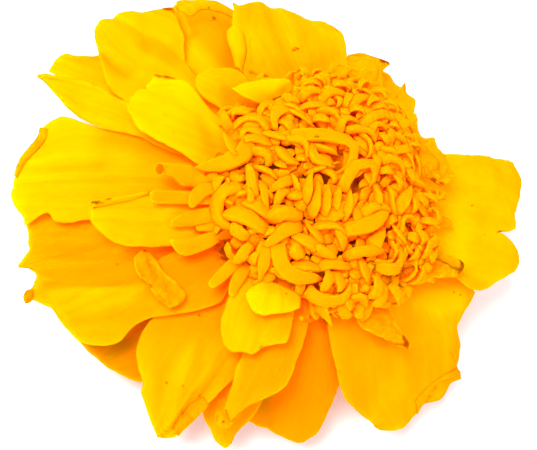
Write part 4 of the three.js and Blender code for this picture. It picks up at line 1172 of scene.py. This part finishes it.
def pushed(nodes, radius, owner, free):
    """How far each node is pushed by the nodes of other lobes, twice as far by those that are held."""
    square = (nodes * nodes).sum(1)
    gap = square[:, None] + square[None] - 2 * nodes @ nodes.T
    reach = radius[:, None] + radius[None]
    i, j = np.nonzero((gap < reach * reach) & (owner[:, None] != owner[None]))
    apart = nodes[i] - nodes[j]
    size = np.linalg.norm(apart, axis=1, keepdims=True) + 1e-6
    push = apart / size * (reach[i, j][:, None] - size) * (PUSH + PUSH * (free[j] == 0))
    move = np.zeros_like(nodes)
    np.add.at(move, i, push)
    step = np.linalg.norm(move, axis=1, keepdims=True)
    return move * np.minimum(1, LONGEST_STEP / np.maximum(step, 1e-6)) * free


def settle(lobes, rounds):
    """Pushes the lobes apart where they cross, while each keeps about its own shape."""
    path = np.array([lobe["path"] for lobe in lobes])
    rest = path.copy()
    count, nodes = path.shape[:2]
    radius = np.repeat(np.array([lobe["width"] for lobe in lobes])[:, None] * GIRTH, nodes, 1)
    radius[:, -1] *= GIRTH_AT_TIP
    radius[:, 0] *= GIRTH_AT_ROOT
    owner = np.repeat(np.arange(count), nodes)
    loose = np.array([0.0 if lobe["held"] else 1.0 for lobe in lobes])
    free = (loose[:, None] * smooth(0.0, 0.35, np.linspace(0, 1, nodes))).reshape(-1, 1)
    length = np.linalg.norm(np.diff(rest, axis=1), axis=-1, keepdims=True)
    for _ in range(rounds):
        places = path.reshape(-1, 3)
        path = (places + pushed(places, radius.ravel(), owner, free)).reshape(count, nodes, 3)
        path += TO_REST * (rest - path)
        bent = (path[:, 2:] + path[:, :-2]) / 2 - path[:, 1:-1]
        path[:, 1:-1] += TO_OWN_BEND * (bent - ((rest[:, 2:] + rest[:, :-2]) / 2 - rest[:, 1:-1]))
        for n in range(1, nodes):
            step = path[:, n] - path[:, n - 1]
            size = np.linalg.norm(step, axis=1, keepdims=True)
            path[:, n] = path[:, n - 1] + step / np.maximum(size, 1e-6) * length[:, n - 1]
    for lobe, line in zip(lobes, path):
        lobe["path"] = line


def add_lobe(bundle, lobe):
    line = smooth_line(lobe["path"], LOBE_RINGS)
    u = np.linspace(0, 1, LOBE_RINGS)
    body = np.sqrt(np.clip(1 - np.maximum(u - (1 - BLUNT_END), 0) ** 2 / BLUNT_END**2, 0, 1))
    spear = np.clip((1 - u) / SPEAR_END, 0, 1) ** 0.8
    taper = np.where(u > 1 - SPEAR_END, body * (1 - lobe["point"]) + spear * lobe["point"], 1)
    taper[-1] = 0.06
    width = lobe["width"] * (0.62 + 0.38 * smooth(0, 0.35, u)) * taper
    across_it = unit(np.cross(lobe["up"], line[LOBE_RINGS // 2] - line[0]))
    rings = tube_points(line, across_it, width, width * lobe["flat"] * 0.9, hollow=0.3)
    # Painted shade and light: deeper where the lobe lies low among the others, lighter on the sunlit side and
    # at the disc's border
    high = 0.16 + 0.84 * smooth(-0.6, 2.0, height_over_feet(line)) + sunlit(line)
    high = high + 0.45 * smooth(11.5, 14.5, np.linalg.norm((line - AXIS)[:, :2], axis=1))
    bumps = LOBE_BUMPS * waves(rings.reshape(-1, 3), BUMP_LENGTH, 3).reshape(rings.shape[:2])
    rings += (rings - line[:, None]) * bumps[..., None]
    withered = lobe.get("withered", 0)
    bundle.take(rings, along=u + withered, high=high, tint=1.0 if withered else lobe["tint"])


def add_lying_floret(bundle, spine, height, widths, flat, bright, is_open):
    pixels = table(spine)[0][0]
    rings = 18
    line = [at_height(p, height + 0.2 * math.sin(2 * n)) for n, p in enumerate(pixels)]
    line = smooth_line(np.array([at_height(pixels[0], height - 1.2)] + line), rings)
    width = through(np.linspace(0, 1, len(widths)), widths, np.linspace(0, 1, rings)) / PIXELS_PER_LYING_WIDTH
    high = np.linspace(0.5, 0.85, rings) * bright
    brown = np.zeros(rings)
    if not is_open:
        width[-1] *= 0.6
    across_it = unit(np.cross(UP_Z, line[-1] - line[0]))
    points = tube_points(line, across_it, width, width * flat, hollow=0.2)
    if is_open:
        mouth = open_mouth(points[-1], line[-1], unit(line[-1] - line[-2]), across_it)
        points = np.concatenate([points[:-1], mouth])
        # Painted shade: the rings that lead back into the open end are coloured deep and brown, where the
        # hollow lies in shade
        high = np.concatenate([high[:-1], [0.8, 0.6, 0.05, -0.1]])
        brown = np.concatenate([brown[:-1], [0.0, 0.5, 1.0, 1.0]])
    bundle.take(points, along=0.9 + 0.1 * brown, high=high, tint=0.6 + 0.4 * brown)


def open_mouth(ring, centre, ahead, across_it):
    """Turns a tube's last ring to the light and adds the rings that lead back into it."""
    facing = unit(0.5 * ahead + 0.8 * BACK)
    first = unit(across_it - facing * (facing @ across_it))
    second = np.cross(first, facing)
    radius = 0.5 * np.linalg.norm(ring - centre, axis=1).mean() + 0.42
    angle = np.linspace(0, 2 * np.pi, len(ring), endpoint=False)[:, None]
    spoke = radius * (first * np.cos(angle) + second * np.sin(angle))
    return [centre + spoke, centre + 0.12 * facing + 0.92 * spoke, centre + 0.02 * facing + 0.8 * spoke,
            centre - 0.08 * facing + 0.4 * spoke]


def add_tube(bundle, low, high, radius, tint):
    line = np.linspace(low, high, 5)
    width = radius * np.array([0.7, 0.75, 0.85, 1.05, 1.25])
    rings = tube_points(line, unit(np.cross(high - low, [0.2, 1.0, 0.1])), width, width)
    # Painted shade: the tubes, low among the lobes, are coloured deep
    bundle.take(rings, along=0, high=np.linspace(-0.05, 0.2, 5) + sunlit(line), tint=tint)


def add_core(bundle):
    """The receptacle's top and the mass of lower tubes, under the florets."""
    profile = [(0.2, 0.0), (NECK_RADIUS, 0.0), (NECK_RADIUS - 1.4, 2.2), (9.0, 4.0), (FOOT_RADIUS - 1.6, 4.5),
               (FOOT_RADIUS - 0.9, 5.1), (FOOT_RADIUS * 0.8, 6.5), (FOOT_RADIUS * 0.5, 7.4), (3.2, 7.7),
               (2.4, 6.6), (1.6, 4.8), (0.2, 4.2)]
    angles = np.linspace(0, 360, CORE_SIDES, endpoint=False)
    rings = np.array([[placed(angle, radius, height) for angle in angles] for radius, height in profile])
    # Painted shade: the core under the florets is coloured deep
    bundle.take(rings, along=0, high=sunlit(rings), tint=0.5)


def add_disc(material):
    draw = random.Random(11)
    tubes, lobes = disc_lobes(draw)
    settle(lobes, 40)
    bundle = Bundle()
    add_core(bundle)
    for tube in tubes:
        add_tube(bundle, *tube)
    for lobe in lobes:
        add_lobe(bundle, lobe)
    for lying in LYING_FLORETS:
        add_lying_floret(bundle, *lying)
    bundle.add_as("disc_florets", material)


# Involucre and stem. CUP: share of the height, radius, how deep the ribs are and how much it is toothed
BRACTS = 8
STEM_RIBS = 6
RIB_SIDES = 16
BRACT_TOOTH = 1.7
TOOTH_LIFT = 0.2
CUP = [(0, 4.6, 0, 0), (0.12, 6.2, 0.1, 0), (0.35, 8.0, 0.25, 0), (0.65, 8.9, 0.3, 0), (0.88, 8.5, 0.2, 0),
       (0.96, 8.6, 0, 1), (1, 8.0, 0, 0)]


def add_turned(name, material, heights, radii, ribs, depth, teeth, cut):
    """A ribbed solid round the axis, from rings of given heights and radii."""
    angle = np.linspace(0, 2 * np.pi, RIB_SIDES * ribs, endpoint=False)
    off_rib = np.abs(2 * (ribs * angle / (2 * np.pi) % 1) - 1)
    comb = (1 - off_rib) ** 2
    rings = []
    for z, radius, deep, tooth in zip(heights, radii, depth, teeth):
        fine = 0.05 * np.cos(5 * ribs * angle) * min(1, radius / 3)
        r = radius + deep * np.cos(ribs * angle) + fine + BRACT_TOOTH * tooth * comb
        z = z + TOOTH_LIFT * tooth * comb
        rings.append(AXIS + np.stack([r * np.cos(angle), r * np.sin(angle), z], -1))
    bundle = Bundle()
    share = (heights - heights[0]) / (heights[-1] - heights[0])
    bundle.take(np.array(rings), high=share, cut=cut, rib=np.tile(off_rib, (len(rings), 1)))
    bundle.add_as(name, material)


def add_involucre(material):
    at = np.concatenate([np.linspace(0, 0.9, 28), np.linspace(0.92, 1, 8)])
    keys = list(zip(*CUP))
    radii, depth, teeth = (through(keys[0], keys[i], at) for i in (1, 2, 3))
    heights = STEM_TOP + at * (RIM - STEM_TOP)
    heights = np.concatenate([[heights[0]] * 2, heights, [RIM] * 2])
    radii = np.concatenate([[0.2, 4.0], radii, [4.0, 0.2]])
    add_turned("involucre", material, heights, radii, BRACTS, np.pad(-depth, 2), np.pad(teeth, 2), 0)


def add_stem(material):
    heights = np.concatenate([[0, 0, 0, 0, 0.12], np.linspace(0.4, STEM_TOP, 9), [STEM_TOP] * 2])
    radii = np.concatenate([[0.2, 1.5, 2.8, 3.75, 3.95], np.linspace(4.0, 4.45, 9), [2.0, 0.2]])
    depth = np.concatenate([[0, 0, 0.05, 0.15, 0.15], np.full(9, 0.15), [0, 0]])
    cut = np.concatenate([[1, 1, 1, 0.5, 0], np.zeros(11)])
    add_turned("stem", material, heights, radii, STEM_RIBS, depth, np.zeros(16), cut)


# Stage and light
def add_floor():
    made, tree = new_material("floor_paint", {"Roughness": 0.9, "Specular IOR Level": 0.1})
    painted(made, mixed(noise(object_place(tree), 30.0), *PAPER))
    bpy.ops.mesh.primitive_plane_add(size=4, location=(0, 0, 0))
    floor = bpy.context.object
    floor.name = "floor"
    floor.data.materials.append(made)


def add_light(name, direction, distance, size, power, colour):
    data = bpy.data.lights.new(name, "AREA")
    data.shape = "DISK"
    data.size = size
    data.energy = power
    data.color = colour
    light = bpy.data.objects.new(name, data)
    bpy.context.scene.collection.objects.link(light)
    light.location = (TARGET * MM + unit(direction) * distance).tolist()
    light.rotation_euler = Vector(unit(direction).tolist()).to_track_quat("Z", "Y").to_euler()


def light_stage():
    world = bpy.data.worlds.new("studio")
    bpy.context.scene.world = world
    world.use_nodes = True
    sky = world.node_tree.nodes["Background"].inputs
    sky[0].default_value = (1.0, 1.0, 1.0, 1)
    sky[1].default_value = 0.82
    add_light("key", 1.0 * BACK + 0.3 * UP - 0.18 * RIGHT, 0.7, 0.3, 7.8, (1.0, 0.98, 0.94))
    add_light("fill", 0.9 * BACK - 0.35 * UP + 0.4 * RIGHT, 0.9, 0.6, 2.6, (1, 1, 1))
    view = bpy.context.scene.view_settings
    view.view_transform = "Standard"
    view.look = "None"
    bpy.context.scene.cycles.diffuse_bounces = 10


add_camera()
ray_skin = petal_material("ray_skin")
inner_skin = petal_material("inner_skin")
wilted_skin = petal_material("wilted_skin", 0.5)
for petals, slot, skin, rows, columns, first_seed in (
    (RAYS, "ray_petal", ray_skin, 60, 88, 100),
    (INNER, "inner_petal", inner_skin, 44, 40, 400),
    (LOOSE, "inner_petal", inner_skin, 32, 32, 500),
    (WILTED, "wilted_petal", wilted_skin, 52, 36, 600),
):
    for number, (name, drawn) in enumerate(petals.items()):
        add_petal(name, slot, skin, rows, columns, first_seed + 10 * number, **drawn)
add_disc(floret_material())
add_involucre(green_material("involucre_skin", (0.2, 0.3, 0.06), (0.1, 0.18, 0.03)))
add_stem(green_material("stem_skin", (0.26, 0.36, 0.1), (0.16, 0.26, 0.06)))
add_floor()
light_stage()
